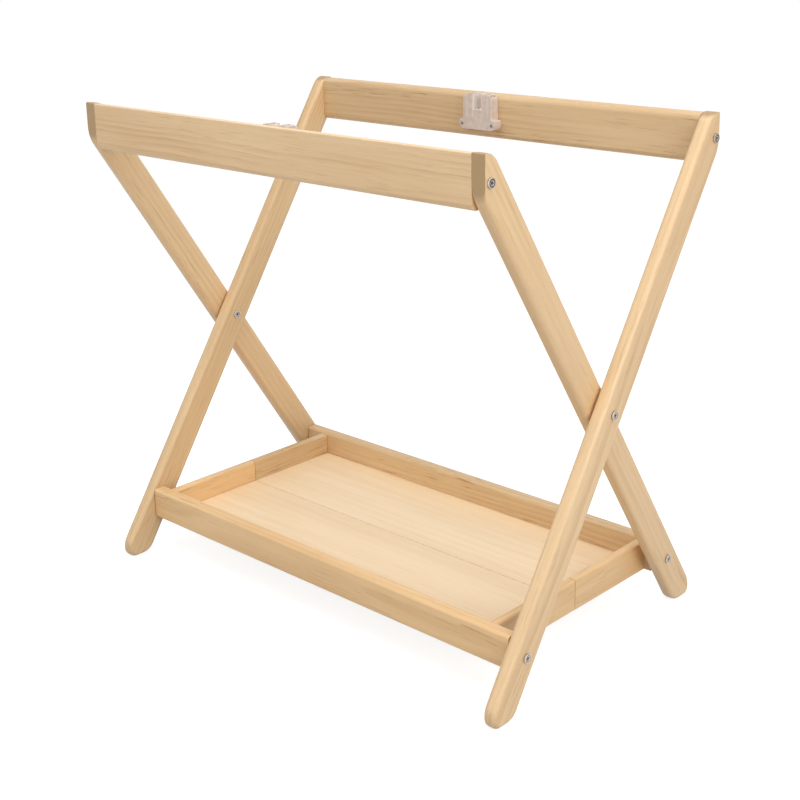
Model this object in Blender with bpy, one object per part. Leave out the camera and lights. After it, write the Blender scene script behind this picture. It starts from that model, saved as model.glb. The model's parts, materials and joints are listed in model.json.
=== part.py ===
"""Bassinet stand: two leg frames of pale wood that cross and fold like scissors, a shallow tray
between their feet that folds up in the middle, and a clear bracket on each top rail.

Metres, +Z up. X runs along the stand, -Y is its front and Z = 0 is the floor. The origin lies on
the floor under the middle of the stand. The stand is the same after half a turn about Z, so each
piece is described once, as it stands in the front frame, and its twin is turned half a turn.
"""

import math

import bmesh
import bpy
from mathutils import Vector

# Whole stand
STAND_LENGTH = 0.780  # over the outer faces of the outer legs
STAND_HEIGHT = 0.707
TOP_DEPTH = 0.451  # over the outer faces of the two rails
FOOT_REACH = 0.0115  # from a leg's centre line at the floor out to its upright heel
TOP_TRIM = 0.0089  # from a leg's centre line at the top in to its upright face
CROSSING_HEIGHT = 0.346
FIT = 0.0003  # gap between pieces that touch or fit in each other
BORE_CLEARANCE = 0.0004  # round a bolt in a hidden insert or washer, whose bore has few sides

# Legs
LEG_THICKNESS = 0.020
LEG_WIDTH = 0.045
LEG_GAP = 0.003  # between an outer leg and the inner leg beside it
LEG_EDGE_RADIUS = 0.0062  # round the long edges, the toe and the heel
LEG_CORNER_RADIUS = 0.0015
LEG_TOP_RADIUS = 0.024
LEG_SHOULDER_RADIUS = 0.032  # where the slanted edge meets the upright face under the top
LEG_ANKLE_RADIUS = 0.030  # where the slanted edge meets the upright heel
LEG_HEEL_RADIUS = 0.012
LEG_TOE_RADIUS = 0.025

# Rails
RAIL_TOP_DROP = 0.0015  # below the legs' tops
RAIL_HEIGHT = 0.0661
RAIL_THICKNESS = 0.018
RAIL_OUTER_TOP_RADIUS = 0.001
RAIL_INNER_TOP_RADIUS = 0.009
RAIL_BOTTOM_RADIUS = 0.0085  # nearly a half round
RAIL_BOLT_DROP = 0.032  # below the rail's top
RAIL_DOWEL_DROP = 0.0145  # below the rail's top
RAIL_DOWEL_RADIUS = 0.004
RAIL_DOWEL_IN_LEG = 0.012
RAIL_DOWEL_IN_RAIL = 0.020

# Bolts, inserts and washers
HEAD_RADIUS = 0.0065
HEAD_HEIGHT = 0.0023
HEAD_CHAMFER = 0.0008
SOCKET_RADIUS = 0.0023  # across the flats, halved
SOCKET_DEPTH = 0.0017
BOLT_RADIUS = 0.003
BOLT_IN_INSERT = 0.013
INSERT_RADIUS = 0.0055
INSERT_LENGTH = 0.015
NUT_BARREL_RADIUS = 0.0045
NUT_BARREL_LENGTH = 0.015
NUT_HEAD_HEIGHT = 0.0016
NUT_BORE_END = 0.0035  # solid metal behind the nut's bore, from the leg's face
NUT_SOCKET_DEPTH = 0.0012
PIVOT_WASHER_RADIUS = 0.010

# Tray
TRAY_PIVOT_HEIGHT = 0.0767
TRAY_BOTTOM = 0.054
BOARD_HEIGHT = 0.0475
BOARD_THICKNESS = 0.020
BOARD_EDGE_RADIUS = 0.0045
BOARD_END_GAP = 0.0012  # between a board's end and the leg, where the washer sits
BOARD_WASHER_RADIUS = 0.007
END_BOARD_INSET = 0.0125  # from the inner legs' inner faces to the end boards
END_BOARD_HEIGHT = 0.044
END_BOARD_THICKNESS = 0.014
END_BOARD_EDGE_RADIUS = 0.003
PANEL_THICKNESS = 0.0105
PANEL_REBATE = 0.007
TRAY_DOWEL_RADIUS = 0.004
TRAY_DOWEL_IN_BOARD = 0.012
TRAY_DOWEL_IN_END = 0.018
TRAY_DOWEL_DROP = 0.012  # below the end boards' top

# Hinges under the middle of the tray, one near each end
HINGE_INSET = 0.035  # from an end board's inner face to the hinge's middle
HINGE_WIDTH = 0.040
HINGE_LEAF_LENGTH = 0.022
HINGE_LEAF_THICKNESS = 0.0012
HINGE_KNUCKLE_RADIUS = 0.0025
HINGE_KNUCKLE_GAP = 0.0004
HINGE_PIN_RADIUS = 0.0012
HINGE_SCREW_RADIUS = 0.0014
HINGE_SCREW_HEAD_RADIUS = 0.0024
HINGE_SCREW_IN_WOOD = 0.005
HINGE_SCREW_SPACING = 0.024

# Brackets
BRACKET_WIDTH = 0.054
BRACKET_BASE_WIDTH = 0.068
BRACKET_HEIGHT = 0.0525
BRACKET_BASE_HEIGHT = 0.015
BRACKET_DEPTH = 0.016
BRACKET_CORNER_RADIUS = 0.008
BRACKET_WALL = 0.002
BRACKET_FLOOR = 0.004  # solid above the base's top, under the hollow cells
BRACKET_SLOT_WIDTH = 0.016
BRACKET_SLOT_DEPTH = 0.023
BRACKET_RIB_FROM_SIDE = 0.0045  # clear width of the narrow cell beside each side wall
BRACKET_SCREW_INSET = 0.0057  # from the base's end
BRACKET_SCREW_HEIGHT = 0.008  # above the base's underside
BRACKET_SCREW_RADIUS = 0.0015
BRACKET_SCREW_HEAD_RADIUS = 0.0028
BRACKET_SCREW_CROWN_RADIUS = 0.0020
BRACKET_SCREW_HEAD_HEIGHT = 0.0014
BRACKET_SCREW_IN_RAIL = 0.012

# Steps along an arc, and sides of a round piece
OUTLINE_STEPS = 5
EDGE_STEPS = 3
ROUND_SIDES = 20
SMALL_SIDES = 12
OVERRUN = 0.002  # how far a cut runs past the surface that it opens
SHARP_ANGLE = math.radians(35.0)  # edges bent by more than this stay crisp
EMPTY_SIZE = 0.03

# Places that follow from the sizes above
OUTER_FACE = STAND_LENGTH / 2
OUTER_INNER_FACE = OUTER_FACE - LEG_THICKNESS
INNER_OUTER_FACE = OUTER_INNER_FACE - LEG_GAP
INNER_FACE = INNER_OUTER_FACE - LEG_THICKNESS
LEG_SLOPE = (TOP_DEPTH / 2 + TOP_TRIM) / (STAND_HEIGHT - CROSSING_HEIGHT)
LEG_ANGLE = math.atan(LEG_SLOPE)
LEG_HALF_SPAN = LEG_WIDTH / 2 / math.cos(LEG_ANGLE)
FOOT_HALF_DEPTH = CROSSING_HEIGHT * LEG_SLOPE + FOOT_REACH
RAIL_TOP = STAND_HEIGHT - RAIL_TOP_DROP
RAIL_MIDDLE_Y = TOP_DEPTH / 2 - RAIL_THICKNESS / 2
RAIL_INNER_Y = TOP_DEPTH / 2 - RAIL_THICKNESS
TRAY_PIVOT_Y = (CROSSING_HEIGHT - TRAY_PIVOT_HEIGHT) * LEG_SLOPE
BOARD_INNER_Y = TRAY_PIVOT_Y - BOARD_THICKNESS / 2
BOARD_OUTER_Y = TRAY_PIVOT_Y + BOARD_THICKNESS / 2
END_OUTER_X = INNER_FACE - END_BOARD_INSET
END_INNER_X = END_OUTER_X - END_BOARD_THICKNESS
END_MIDDLE_X = END_OUTER_X - END_BOARD_THICKNESS / 2
PANEL_END_X = END_INNER_X + PANEL_REBATE - FIT
PANEL_INNER_Y = BOARD_INNER_Y + PANEL_REBATE - FIT
PANEL_TOP = TRAY_BOTTOM + PANEL_THICKNESS
TRAY_DOWEL_Z = TRAY_BOTTOM + END_BOARD_HEIGHT - TRAY_DOWEL_DROP
HINGE_AXIS_Z = TRAY_BOTTOM - FIT - HINGE_KNUCKLE_RADIUS
HINGE_CENTRE_X = END_INNER_X - HINGE_INSET
BRACKET_BOTTOM = RAIL_TOP - BRACKET_HEIGHT
BRACKET_BACK_Y = -RAIL_INNER_Y + FIT
BRACKET_FRONT_Y = BRACKET_BACK_Y + BRACKET_DEPTH

WOOD = ((0.72, 0.50, 0.28), 0.45, 0.0, 0.0)
PALE_WOOD = ((0.80, 0.62, 0.38), 0.50, 0.0, 0.0)
DOWEL_WOOD = ((0.66, 0.47, 0.27), 0.60, 0.0, 0.0)
STEEL = ((0.62, 0.62, 0.60), 0.28, 1.0, 0.0)
BRASS = ((0.72, 0.55, 0.26), 0.35, 1.0, 0.0)
CLEAR_PLASTIC = ((0.93, 0.86, 0.83), 0.12, 0.0, 0.85)


def clear_scene():
    for obj in list(bpy.data.objects):
        bpy.data.objects.remove(obj, do_unlink=True)


def new_material(name, finish):
    """A plain material of its own for one piece: colour, roughness, metallic and transmission."""
    colour, roughness, metallic, transmission = finish
    material = bpy.data.materials.new(name)
    material.use_nodes = True
    shader = material.node_tree.nodes["Principled BSDF"]
    shader.inputs["Base Color"].default_value = (*colour, 1.0)
    shader.inputs["Roughness"].default_value = roughness
    shader.inputs["Metallic"].default_value = metallic
    shader.inputs["Transmission Weight"].default_value = transmission
    return material


def pivot_empty(name, place, half_turn=False):
    """An empty on a moving group's axis. A half turn makes the group the twin of the other one."""
    empty = bpy.data.objects.new(name, None)
    bpy.context.collection.objects.link(empty)
    empty.empty_display_size = EMPTY_SIZE
    turn = math.pi if half_turn else 0.0
    empty.rotation_euler = (0.0, 0.0, turn)
    side = -1.0 if half_turn else 1.0
    empty.location = (side * place[0], side * place[1], place[2])
    empty["place"] = place
    return empty


def add_object(bm, name, carrier, centred=True):
    """The finished bmesh as an object under its carrier, whose place its points are measured from."""
    bmesh.ops.recalc_face_normals(bm, faces=bm.faces)
    points = [vertex.co for vertex in bm.verts]
    centre = Vector((0.0, 0.0, 0.0))
    if centred:
        lows = [min(point[axis] for point in points) for axis in range(3)]
        highs = [max(point[axis] for point in points) for axis in range(3)]
        centre = (Vector(lows) + Vector(highs)) / 2
        bmesh.ops.translate(bm, verts=bm.verts, vec=-centre)
    mesh = bpy.data.meshes.new(name)
    bm.to_mesh(mesh)
    bm.free()
    obj = bpy.data.objects.new(name, mesh)
    bpy.context.collection.objects.link(obj)
    obj.parent = carrier
    obj.location = centre - Vector(carrier["place"])
    return obj


def add_piece(bm, name, carrier, finish, smooth=False):
    obj = add_object(bm, name, carrier)
    obj.data.materials.append(new_material(name, finish))
    if smooth:
        obj.data.shade_smooth()
        obj.data.set_sharp_from_angle(angle=SHARP_ANGLE)
    return obj


def cut(obj, bm, name, carrier):
    """Takes the bmesh's bodies out of the object."""
    cutter = add_object(bm, name, carrier, centred=False)
    cutter.hide_render = True
    cutter.display_type = "WIRE"
    modifier = obj.modifiers.new(name, "BOOLEAN")
    modifier.operation = "DIFFERENCE"
    modifier.solver = "EXACT"
    modifier.object = cutter


def rounded_outline(corners, steps):
    """Points of an outline whose corners, each (u, v, radius), are rounded with arcs."""
    points = []
    for index, (u, v, radius) in enumerate(corners):
        corner = Vector((u, v))
        if radius == 0.0:
            points.append(corner)
            continue
        last_u, last_v, _ = corners[index - 1]
        next_u, next_v, _ = corners[(index + 1) % len(corners)]
        to_last = (Vector((last_u, last_v)) - corner).normalized()
        to_next = (Vector((next_u, next_v)) - corner).normalized()
        half_angle = to_last.angle(to_next) / 2
        centre = corner + (to_last + to_next).normalized() * radius / math.sin(half_angle)
        start = corner + to_last * radius / math.tan(half_angle) - centre
        end = corner + to_next * radius / math.tan(half_angle) - centre
        sweep = start.angle_signed(end)
        for step in range(steps + 1):
            angle = -sweep * step / steps
            points.append(
                centre
                + Vector(
                    (
                        start.x * math.cos(angle) - start.y * math.sin(angle),
                        start.x * math.sin(angle) + start.y * math.cos(angle),
                    )
                )
            )
    return points


def add_prism(bm, points, along):
    """A flat outline of 3-D points, extruded along a vector."""
    face = bm.faces.new([bm.verts.new(point) for point in points])
    made = bmesh.ops.extrude_face_region(bm, geom=[face])
    tops = [item for item in made["geom"] if isinstance(item, bmesh.types.BMVert)]
    bmesh.ops.translate(bm, verts=tops, vec=along)


def add_x_prism(bm, outline, x_low, x_high):
    """A prism along X of an outline of (y, z) points."""
    add_prism(bm, [(x_low, y, z) for y, z in outline], (x_high - x_low, 0.0, 0.0))


def add_y_prism(bm, outline, y_low, y_high):
    """A prism along Y of an outline of (x, z) points."""
    add_prism(bm, [(x, y_low, z) for x, z in outline], (0.0, y_high - y_low, 0.0))


def add_box(bm, x_range, y_range, z_range):
    y_low, y_high = y_range
    z_low, z_high = z_range
    outline = [(y_low, z_low), (y_high, z_low), (y_high, z_high), (y_low, z_high)]
    add_x_prism(bm, outline, *x_range)


def join_loops(bm, first, second):
    """A band of faces between two closed loops of as many points."""
    for index in range(len(first)):
        after = (index + 1) % len(first)
        bm.faces.new((first[index], first[after], second[after], second[index]))


def ring_points(along, radius, sides, hexagonal):
    """Points of one ring of a turned piece about X. A hexagonal ring follows a six-sided socket."""
    points = []
    for side in range(sides):
        angle = 2 * math.pi * side / sides
        reach = radius
        if hexagonal:
            sixth = math.pi / 3
            reach = radius / math.cos(angle % sixth - sixth / 2)
        points.append(Vector((along, reach * math.cos(angle), reach * math.sin(angle))))
    return points


def add_turned(bm, rings, place, direction, sides=ROUND_SIDES, hollow=False):
    """A piece turned about a direction. Each ring is (distance along it, radius, hexagonal).

    A hollow piece's last ring joins its first one. A solid piece is closed at both ends.
    """
    turn = Vector((1.0, 0.0, 0.0)).rotation_difference(Vector(direction))
    loops = []
    for along, radius, hexagonal in rings:
        points = ring_points(along, radius, sides, hexagonal)
        loops.append([bm.verts.new(Vector(place) + turn @ point) for point in points])
    pairs = list(zip(loops, loops[1:]))
    if hollow:
        pairs.append((loops[-1], loops[0]))
    else:
        bm.faces.new(loops[0])
        bm.faces.new(loops[-1])
    for first, second in pairs:
        join_loops(bm, first, second)


def add_turned_piece(name, carrier, finish, rings, place, direction, sides=ROUND_SIDES, hollow=False):
    bm = bmesh.new()
    add_turned(bm, rings, place, direction, sides, hollow)
    return add_piece(bm, name, carrier, finish, smooth=True)


def rod(start, end, radius):
    return [(start, radius, False), (end, radius, False)]


def tube(start, end, bore, radius):
    return [(start, bore, False), (start, radius, False), (end, radius, False), (end, bore, False)]


def bolt(length):
    """A bolt along its shank from under its head at 0, with a hexagon socket in the head."""
    return [
        (length, BOLT_RADIUS, False),
        (0.0, BOLT_RADIUS, False),
        (0.0, HEAD_RADIUS, False),
        (-(HEAD_HEIGHT - HEAD_CHAMFER), HEAD_RADIUS, False),
        (-HEAD_HEIGHT, HEAD_RADIUS - HEAD_CHAMFER, False),
        (-HEAD_HEIGHT, SOCKET_RADIUS, True),
        (-(HEAD_HEIGHT - SOCKET_DEPTH), SOCKET_RADIUS, True),
    ]


def sleeve_nut():
    """A sleeve nut from under its head at 0, with a blind bore that takes the bolt's end."""
    bore = BOLT_RADIUS + FIT
    return [
        (NUT_BORE_END, bore, False),
        (NUT_BARREL_LENGTH, bore, False),
        (NUT_BARREL_LENGTH, NUT_BARREL_RADIUS, False),
        (0.0, NUT_BARREL_RADIUS, False),
        (0.0, HEAD_RADIUS, False),
        (-(NUT_HEAD_HEIGHT - HEAD_CHAMFER), HEAD_RADIUS, False),
        (-NUT_HEAD_HEIGHT, HEAD_RADIUS - HEAD_CHAMFER, False),
        (-NUT_HEAD_HEIGHT, SOCKET_RADIUS, True),
        (-(NUT_HEAD_HEIGHT - NUT_SOCKET_DEPTH), SOCKET_RADIUS, True),
    ]


def flat_screw_hole(radius, head_radius, length):
    """A countersunk screw's hole, from the face of its head at 0."""
    return [
        (-OVERRUN, head_radius + FIT, False),
        (0.0, head_radius + FIT, False),
        (head_radius - radius, radius + FIT, False),
        (length + FIT, radius + FIT, False),
    ]


def leg_outline(inset):
    """A front frame's leg seen along X, as (y, z): its top is at the front and its foot behind.

    The inset draws in the slanted edges, the heel and the foot, and leaves the top where it is.
    """
    half = LEG_HALF_SPAN - inset / math.cos(LEG_ANGLE)
    top_y = -TOP_DEPTH / 2
    top_width = half - TOP_TRIM
    top_most = (top_width - 2 * LEG_CORNER_RADIUS) * math.tan(math.pi / 4 + LEG_ANGLE / 2)
    heel_y = FOOT_HALF_DEPTH - inset
    heel_radius = max(LEG_HEEL_RADIUS - inset, LEG_CORNER_RADIUS)
    ankle_z = CROSSING_HEIGHT - (heel_y - half) / LEG_SLOPE
    ankle_most = (ankle_z - inset - heel_radius - FIT) / math.tan(LEG_ANGLE / 2)
    corners = [
        (top_y, STAND_HEIGHT, LEG_CORNER_RADIUS),
        (top_y + top_width, STAND_HEIGHT, min(LEG_TOP_RADIUS - inset, top_most)),
        (heel_y, ankle_z, min(LEG_ANKLE_RADIUS - inset, ankle_most)),
        (heel_y, inset, heel_radius),
        ((CROSSING_HEIGHT - inset) * LEG_SLOPE - half, inset, LEG_TOE_RADIUS - inset),
        (top_y, CROSSING_HEIGHT + (TOP_DEPTH / 2 - half) / LEG_SLOPE, LEG_SHOULDER_RADIUS),
    ]
    return rounded_outline(corners, OUTLINE_STEPS)


def add_leg_body(bm, x_low, x_high):
    """A leg built up of outlines across its thickness, drawn in near both faces to round it."""
    loops = []
    for face_x, inward, steps in ((x_low, 1.0, range(EDGE_STEPS + 1)),
                                  (x_high, -1.0, range(EDGE_STEPS, -1, -1))):
        for step in steps:
            angle = math.pi / 2 * step / EDGE_STEPS
            x = face_x + inward * LEG_EDGE_RADIUS * (1 - math.cos(angle))
            inset = LEG_EDGE_RADIUS * (1 - math.sin(angle))
            loops.append([bm.verts.new((x, y, z)) for y, z in leg_outline(inset)])
    bm.faces.new(loops[0])
    bm.faces.new(loops[-1])
    for first, second in zip(loops, loops[1:]):
        join_loops(bm, first, second)


def make_leg(name, carrier, x_low, x_high, outer):
    """One leg. The outer leg lies on the left of the front frame and the inner leg on its right."""
    bm = bmesh.new()
    add_leg_body(bm, x_low, x_high)
    leg = add_piece(bm, name, carrier, WOOD, smooth=True)
    bm = bmesh.new()
    past_low = x_low - OVERRUN
    through = rod(0.0, LEG_THICKNESS + 2 * OVERRUN, BOLT_RADIUS + FIT)
    rail_bolt_z = RAIL_TOP - RAIL_BOLT_DROP
    add_turned(bm, through, (past_low, -RAIL_MIDDLE_Y, rail_bolt_z), (1, 0, 0))
    add_turned(bm, through, (past_low, TRAY_PIVOT_Y, TRAY_PIVOT_HEIGHT), (1, 0, 0))
    pivot_radius = BOLT_RADIUS + FIT if outer else NUT_BARREL_RADIUS + FIT
    pivot_hole = rod(0.0, LEG_THICKNESS + 2 * OVERRUN, pivot_radius)
    add_turned(bm, pivot_hole, (past_low, 0.0, CROSSING_HEIGHT), (1, 0, 0))
    dowel_z = RAIL_TOP - RAIL_DOWEL_DROP
    inward = 1.0 if outer else -1.0
    rail_face = x_high if outer else x_low
    dowel_hole = rod(-OVERRUN, RAIL_DOWEL_IN_LEG + FIT, RAIL_DOWEL_RADIUS + FIT)
    add_turned(bm, dowel_hole, (rail_face, -RAIL_MIDDLE_Y, dowel_z), (-inward, 0, 0))
    cut(leg, bm, f"{name}_holes", carrier)


def rail_ends(outer_side, inner_side):
    """At each end of a rail: its side's name, its X, which way is out, and the leg's outer face."""
    return (
        (outer_side, -OUTER_INNER_FACE + FIT, -1.0, -OUTER_FACE),
        (inner_side, INNER_FACE - FIT, 1.0, INNER_OUTER_FACE),
    )


def make_rail(name, carrier):
    """A rail with a nearly half-round underside, whose inner top edge is rounded."""
    bottom_radius = min(RAIL_BOTTOM_RADIUS, RAIL_THICKNESS / 2 - FIT)
    corners = [
        (-TOP_DEPTH / 2, RAIL_TOP - RAIL_HEIGHT, bottom_radius),
        (-RAIL_INNER_Y, RAIL_TOP - RAIL_HEIGHT, bottom_radius),
        (-RAIL_INNER_Y, RAIL_TOP, RAIL_INNER_TOP_RADIUS),
        (-TOP_DEPTH / 2, RAIL_TOP, RAIL_OUTER_TOP_RADIUS),
    ]
    bm = bmesh.new()
    outline = rounded_outline(corners, OUTLINE_STEPS)
    add_x_prism(bm, outline, -OUTER_INNER_FACE + FIT, INNER_FACE - FIT)
    rail = add_piece(bm, name, carrier, WOOD, smooth=True)
    bm = bmesh.new()
    insert_hole = rod(-OVERRUN, INSERT_LENGTH + FIT, INSERT_RADIUS + FIT)
    dowel_hole = rod(-OVERRUN, RAIL_DOWEL_IN_RAIL + FIT, RAIL_DOWEL_RADIUS + FIT)
    for _, x, outward, _ in rail_ends("", ""):
        bolt_place = (x, -RAIL_MIDDLE_Y, RAIL_TOP - RAIL_BOLT_DROP)
        dowel_place = (x, -RAIL_MIDDLE_Y, RAIL_TOP - RAIL_DOWEL_DROP)
        add_turned(bm, insert_hole, bolt_place, (-outward, 0, 0), SMALL_SIDES)
        add_turned(bm, dowel_hole, dowel_place, (-outward, 0, 0), SMALL_SIDES)
    screw_hole = rod(-OVERRUN, BRACKET_SCREW_IN_RAIL + FIT, BRACKET_SCREW_RADIUS + FIT)
    for _, x in bracket_screw_places():
        place = (x, -RAIL_INNER_Y, BRACKET_BOTTOM + BRACKET_SCREW_HEIGHT)
        add_turned(bm, screw_hole, place, (0, -1, 0), SMALL_SIDES)
    cut(rail, bm, f"{name}_holes", carrier)


def make_rail_fasteners(end, outer_side, inner_side, carrier):
    """The bolt, threaded insert and dowel that hold each end of a rail to its leg."""
    bolt_z = RAIL_TOP - RAIL_BOLT_DROP
    dowel_z = RAIL_TOP - RAIL_DOWEL_DROP
    shank = LEG_THICKNESS + 2 * FIT + BOLT_IN_INSERT
    insert = tube(FIT, INSERT_LENGTH, BOLT_RADIUS + BORE_CLEARANCE, INSERT_RADIUS)
    dowel = rod(-(FIT + RAIL_DOWEL_IN_LEG), RAIL_DOWEL_IN_RAIL, RAIL_DOWEL_RADIUS)
    for side, x, outward, face in rail_ends(outer_side, inner_side):
        name = f"{end}_rail_{side}"
        inward = (-outward, 0, 0)
        add_turned_piece(f"{name}_bolt", carrier, STEEL, bolt(shank),
                         (face + outward * FIT, -RAIL_MIDDLE_Y, bolt_z), inward)
        add_turned_piece(f"{name}_insert", carrier, BRASS, insert,
                         (x, -RAIL_MIDDLE_Y, bolt_z), inward, SMALL_SIDES, hollow=True)
        add_turned_piece(f"{name}_dowel", carrier, DOWEL_WOOD, dowel,
                         (x, -RAIL_MIDDLE_Y, dowel_z), inward, SMALL_SIDES)


def make_crossing(side, carrier):
    """The bolt, sleeve nut and washer on which the two frames turn, at the outer leg's side."""
    nut_end = LEG_THICKNESS - NUT_BARREL_LENGTH
    bolt_end = NUT_BARREL_LENGTH - NUT_BORE_END - BOLT_RADIUS
    length = 2 * FIT + LEG_THICKNESS + LEG_GAP + nut_end + bolt_end
    washer = tube(FIT, LEG_GAP - FIT, BOLT_RADIUS + FIT, PIVOT_WASHER_RADIUS)
    add_turned_piece(f"{side}_pivot_bolt", carrier, STEEL, bolt(length),
                     (-OUTER_FACE - FIT, 0.0, CROSSING_HEIGHT), (1, 0, 0))
    add_turned_piece(f"{side}_pivot_nut", carrier, STEEL, sleeve_nut(),
                     (-INNER_FACE + FIT, 0.0, CROSSING_HEIGHT), (-1, 0, 0))
    add_turned_piece(f"{side}_pivot_washer", carrier, STEEL, washer,
                     (-OUTER_INNER_FACE, 0.0, CROSSING_HEIGHT), (1, 0, 0), hollow=True)


def bracket_screw_places():
    reach = BRACKET_BASE_WIDTH / 2 - BRACKET_SCREW_INSET
    return ((0, -reach), (1, reach))


def make_bracket(end, sides, carrier):
    """The clear bracket on the rail's inner face, with its two screws.

    On a wide base stands a body with hollow cells on both sides of a slot, which is open at the
    top and towards the middle of the stand.
    """
    half = BRACKET_WIDTH / 2
    base = BRACKET_BASE_WIDTH / 2
    step_z = BRACKET_BOTTOM + BRACKET_BASE_HEIGHT
    corners = [
        (-base, BRACKET_BOTTOM, BRACKET_CORNER_RADIUS),
        (base, BRACKET_BOTTOM, BRACKET_CORNER_RADIUS),
        (base, step_z, BRACKET_WALL),
        (half, step_z, BRACKET_WALL),
        (half, RAIL_TOP, BRACKET_CORNER_RADIUS),
        (-half, RAIL_TOP, BRACKET_CORNER_RADIUS),
        (-half, step_z, BRACKET_WALL),
        (-base, step_z, BRACKET_WALL),
    ]
    bm = bmesh.new()
    add_y_prism(bm, rounded_outline(corners, EDGE_STEPS), BRACKET_BACK_Y, BRACKET_FRONT_Y)
    bracket = add_piece(bm, f"{end}_bassinet_bracket", carrier, CLEAR_PLASTIC, smooth=True)
    bm = bmesh.new()
    above = RAIL_TOP + OVERRUN
    back = BRACKET_BACK_Y + BRACKET_WALL
    slot = BRACKET_SLOT_WIDTH / 2
    slot_y = (back, BRACKET_FRONT_Y + OVERRUN)
    add_box(bm, (-slot, slot), slot_y, (RAIL_TOP - BRACKET_SLOT_DEPTH, above))
    cell_y = (back, BRACKET_FRONT_Y - BRACKET_WALL)
    cell_z = (BRACKET_BOTTOM + BRACKET_BASE_HEIGHT + BRACKET_FLOOR, above)
    side_cell = (half - BRACKET_WALL - BRACKET_RIB_FROM_SIDE, half - BRACKET_WALL)
    wide_cell = (slot + BRACKET_WALL, side_cell[0] - BRACKET_WALL)
    for low, high in (side_cell, wide_cell):
        add_box(bm, (low, high), cell_y, cell_z)
        add_box(bm, (-high, -low), cell_y, cell_z)
    screw_hole = rod(-OVERRUN, BRACKET_DEPTH + OVERRUN, BRACKET_SCREW_RADIUS + FIT)
    screw = [
        (-BRACKET_SCREW_HEAD_HEIGHT, BRACKET_SCREW_CROWN_RADIUS, False),
        (-BRACKET_SCREW_HEAD_HEIGHT / 2, BRACKET_SCREW_HEAD_RADIUS, False),
        (-FIT, BRACKET_SCREW_HEAD_RADIUS, False),
        (-FIT, BRACKET_SCREW_RADIUS, False),
        (BRACKET_DEPTH + FIT + BRACKET_SCREW_IN_RAIL, BRACKET_SCREW_RADIUS, False),
    ]
    for index, x in bracket_screw_places():
        place = (x, BRACKET_FRONT_Y, BRACKET_BOTTOM + BRACKET_SCREW_HEIGHT)
        add_turned(bm, screw_hole, place, (0, -1, 0), SMALL_SIDES)
        name = f"{end}_bracket_{sides[index]}_screw"
        add_turned_piece(name, carrier, STEEL, screw, place, (0, -1, 0), SMALL_SIDES)
    cut(bracket, bm, f"{end}_bassinet_bracket_cells", carrier)


def board_ends(outer_side, inner_side):
    """At each end of a tray board: its side's name, its X, which way is out, and the leg's faces."""
    return (
        (outer_side, -OUTER_INNER_FACE + BOARD_END_GAP, -1.0, -OUTER_INNER_FACE, -OUTER_FACE),
        (inner_side, INNER_FACE - BOARD_END_GAP, 1.0, INNER_FACE, INNER_OUTER_FACE),
    )


def hinge_screw_places(centre):
    """Points on the panel's underside where a leaf is screwed."""
    y = (HINGE_KNUCKLE_RADIUS + HINGE_LEAF_LENGTH) / 2
    offset = HINGE_SCREW_SPACING / 2
    return ((centre - offset, y), (centre + offset, y))


def add_hinge_pilots(bm, centre):
    """Blind holes in a panel for a leaf's two screws."""
    pilot = rod(-OVERRUN, HINGE_SCREW_IN_WOOD + FIT, HINGE_SCREW_RADIUS + FIT)
    for x, y in hinge_screw_places(centre):
        add_turned(bm, pilot, (x, y, TRAY_BOTTOM), (0, 0, 1), SMALL_SIDES)


def make_board(end, carrier):
    """The tray's long board, which turns on the two bolts through the legs' lower ends."""
    radius = BOARD_EDGE_RADIUS
    corners = [
        (BOARD_INNER_Y, TRAY_BOTTOM, 0.0),
        (BOARD_OUTER_Y, TRAY_BOTTOM, radius),
        (BOARD_OUTER_Y, TRAY_BOTTOM + BOARD_HEIGHT, radius),
        (BOARD_INNER_Y, TRAY_BOTTOM + BOARD_HEIGHT, radius),
    ]
    ends = board_ends("", "")
    bm = bmesh.new()
    add_x_prism(bm, rounded_outline(corners, EDGE_STEPS), ends[0][1], ends[1][1])
    board = add_piece(bm, f"tray_{end}_board", carrier, WOOD, smooth=True)
    bm = bmesh.new()
    rebate_x = (-PANEL_END_X - FIT, PANEL_END_X + FIT)
    rebate_y = (BOARD_INNER_Y - OVERRUN, BOARD_INNER_Y + PANEL_REBATE)
    add_box(bm, rebate_x, rebate_y, (TRAY_BOTTOM - OVERRUN, PANEL_TOP + FIT))
    insert_hole = rod(-OVERRUN, INSERT_LENGTH + FIT, INSERT_RADIUS + FIT)
    for _, x, outward, _, _ in ends:
        place = (x, TRAY_PIVOT_Y, TRAY_PIVOT_HEIGHT)
        add_turned(bm, insert_hole, place, (-outward, 0, 0), SMALL_SIDES)
    dowel_hole = rod(-OVERRUN, TRAY_DOWEL_IN_BOARD + FIT, TRAY_DOWEL_RADIUS + FIT)
    for x in (-END_MIDDLE_X, END_MIDDLE_X):
        add_turned(bm, dowel_hole, (x, BOARD_INNER_Y, TRAY_DOWEL_Z), (0, 1, 0), SMALL_SIDES)
    cut(board, bm, f"tray_{end}_board_holes", carrier)


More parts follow.
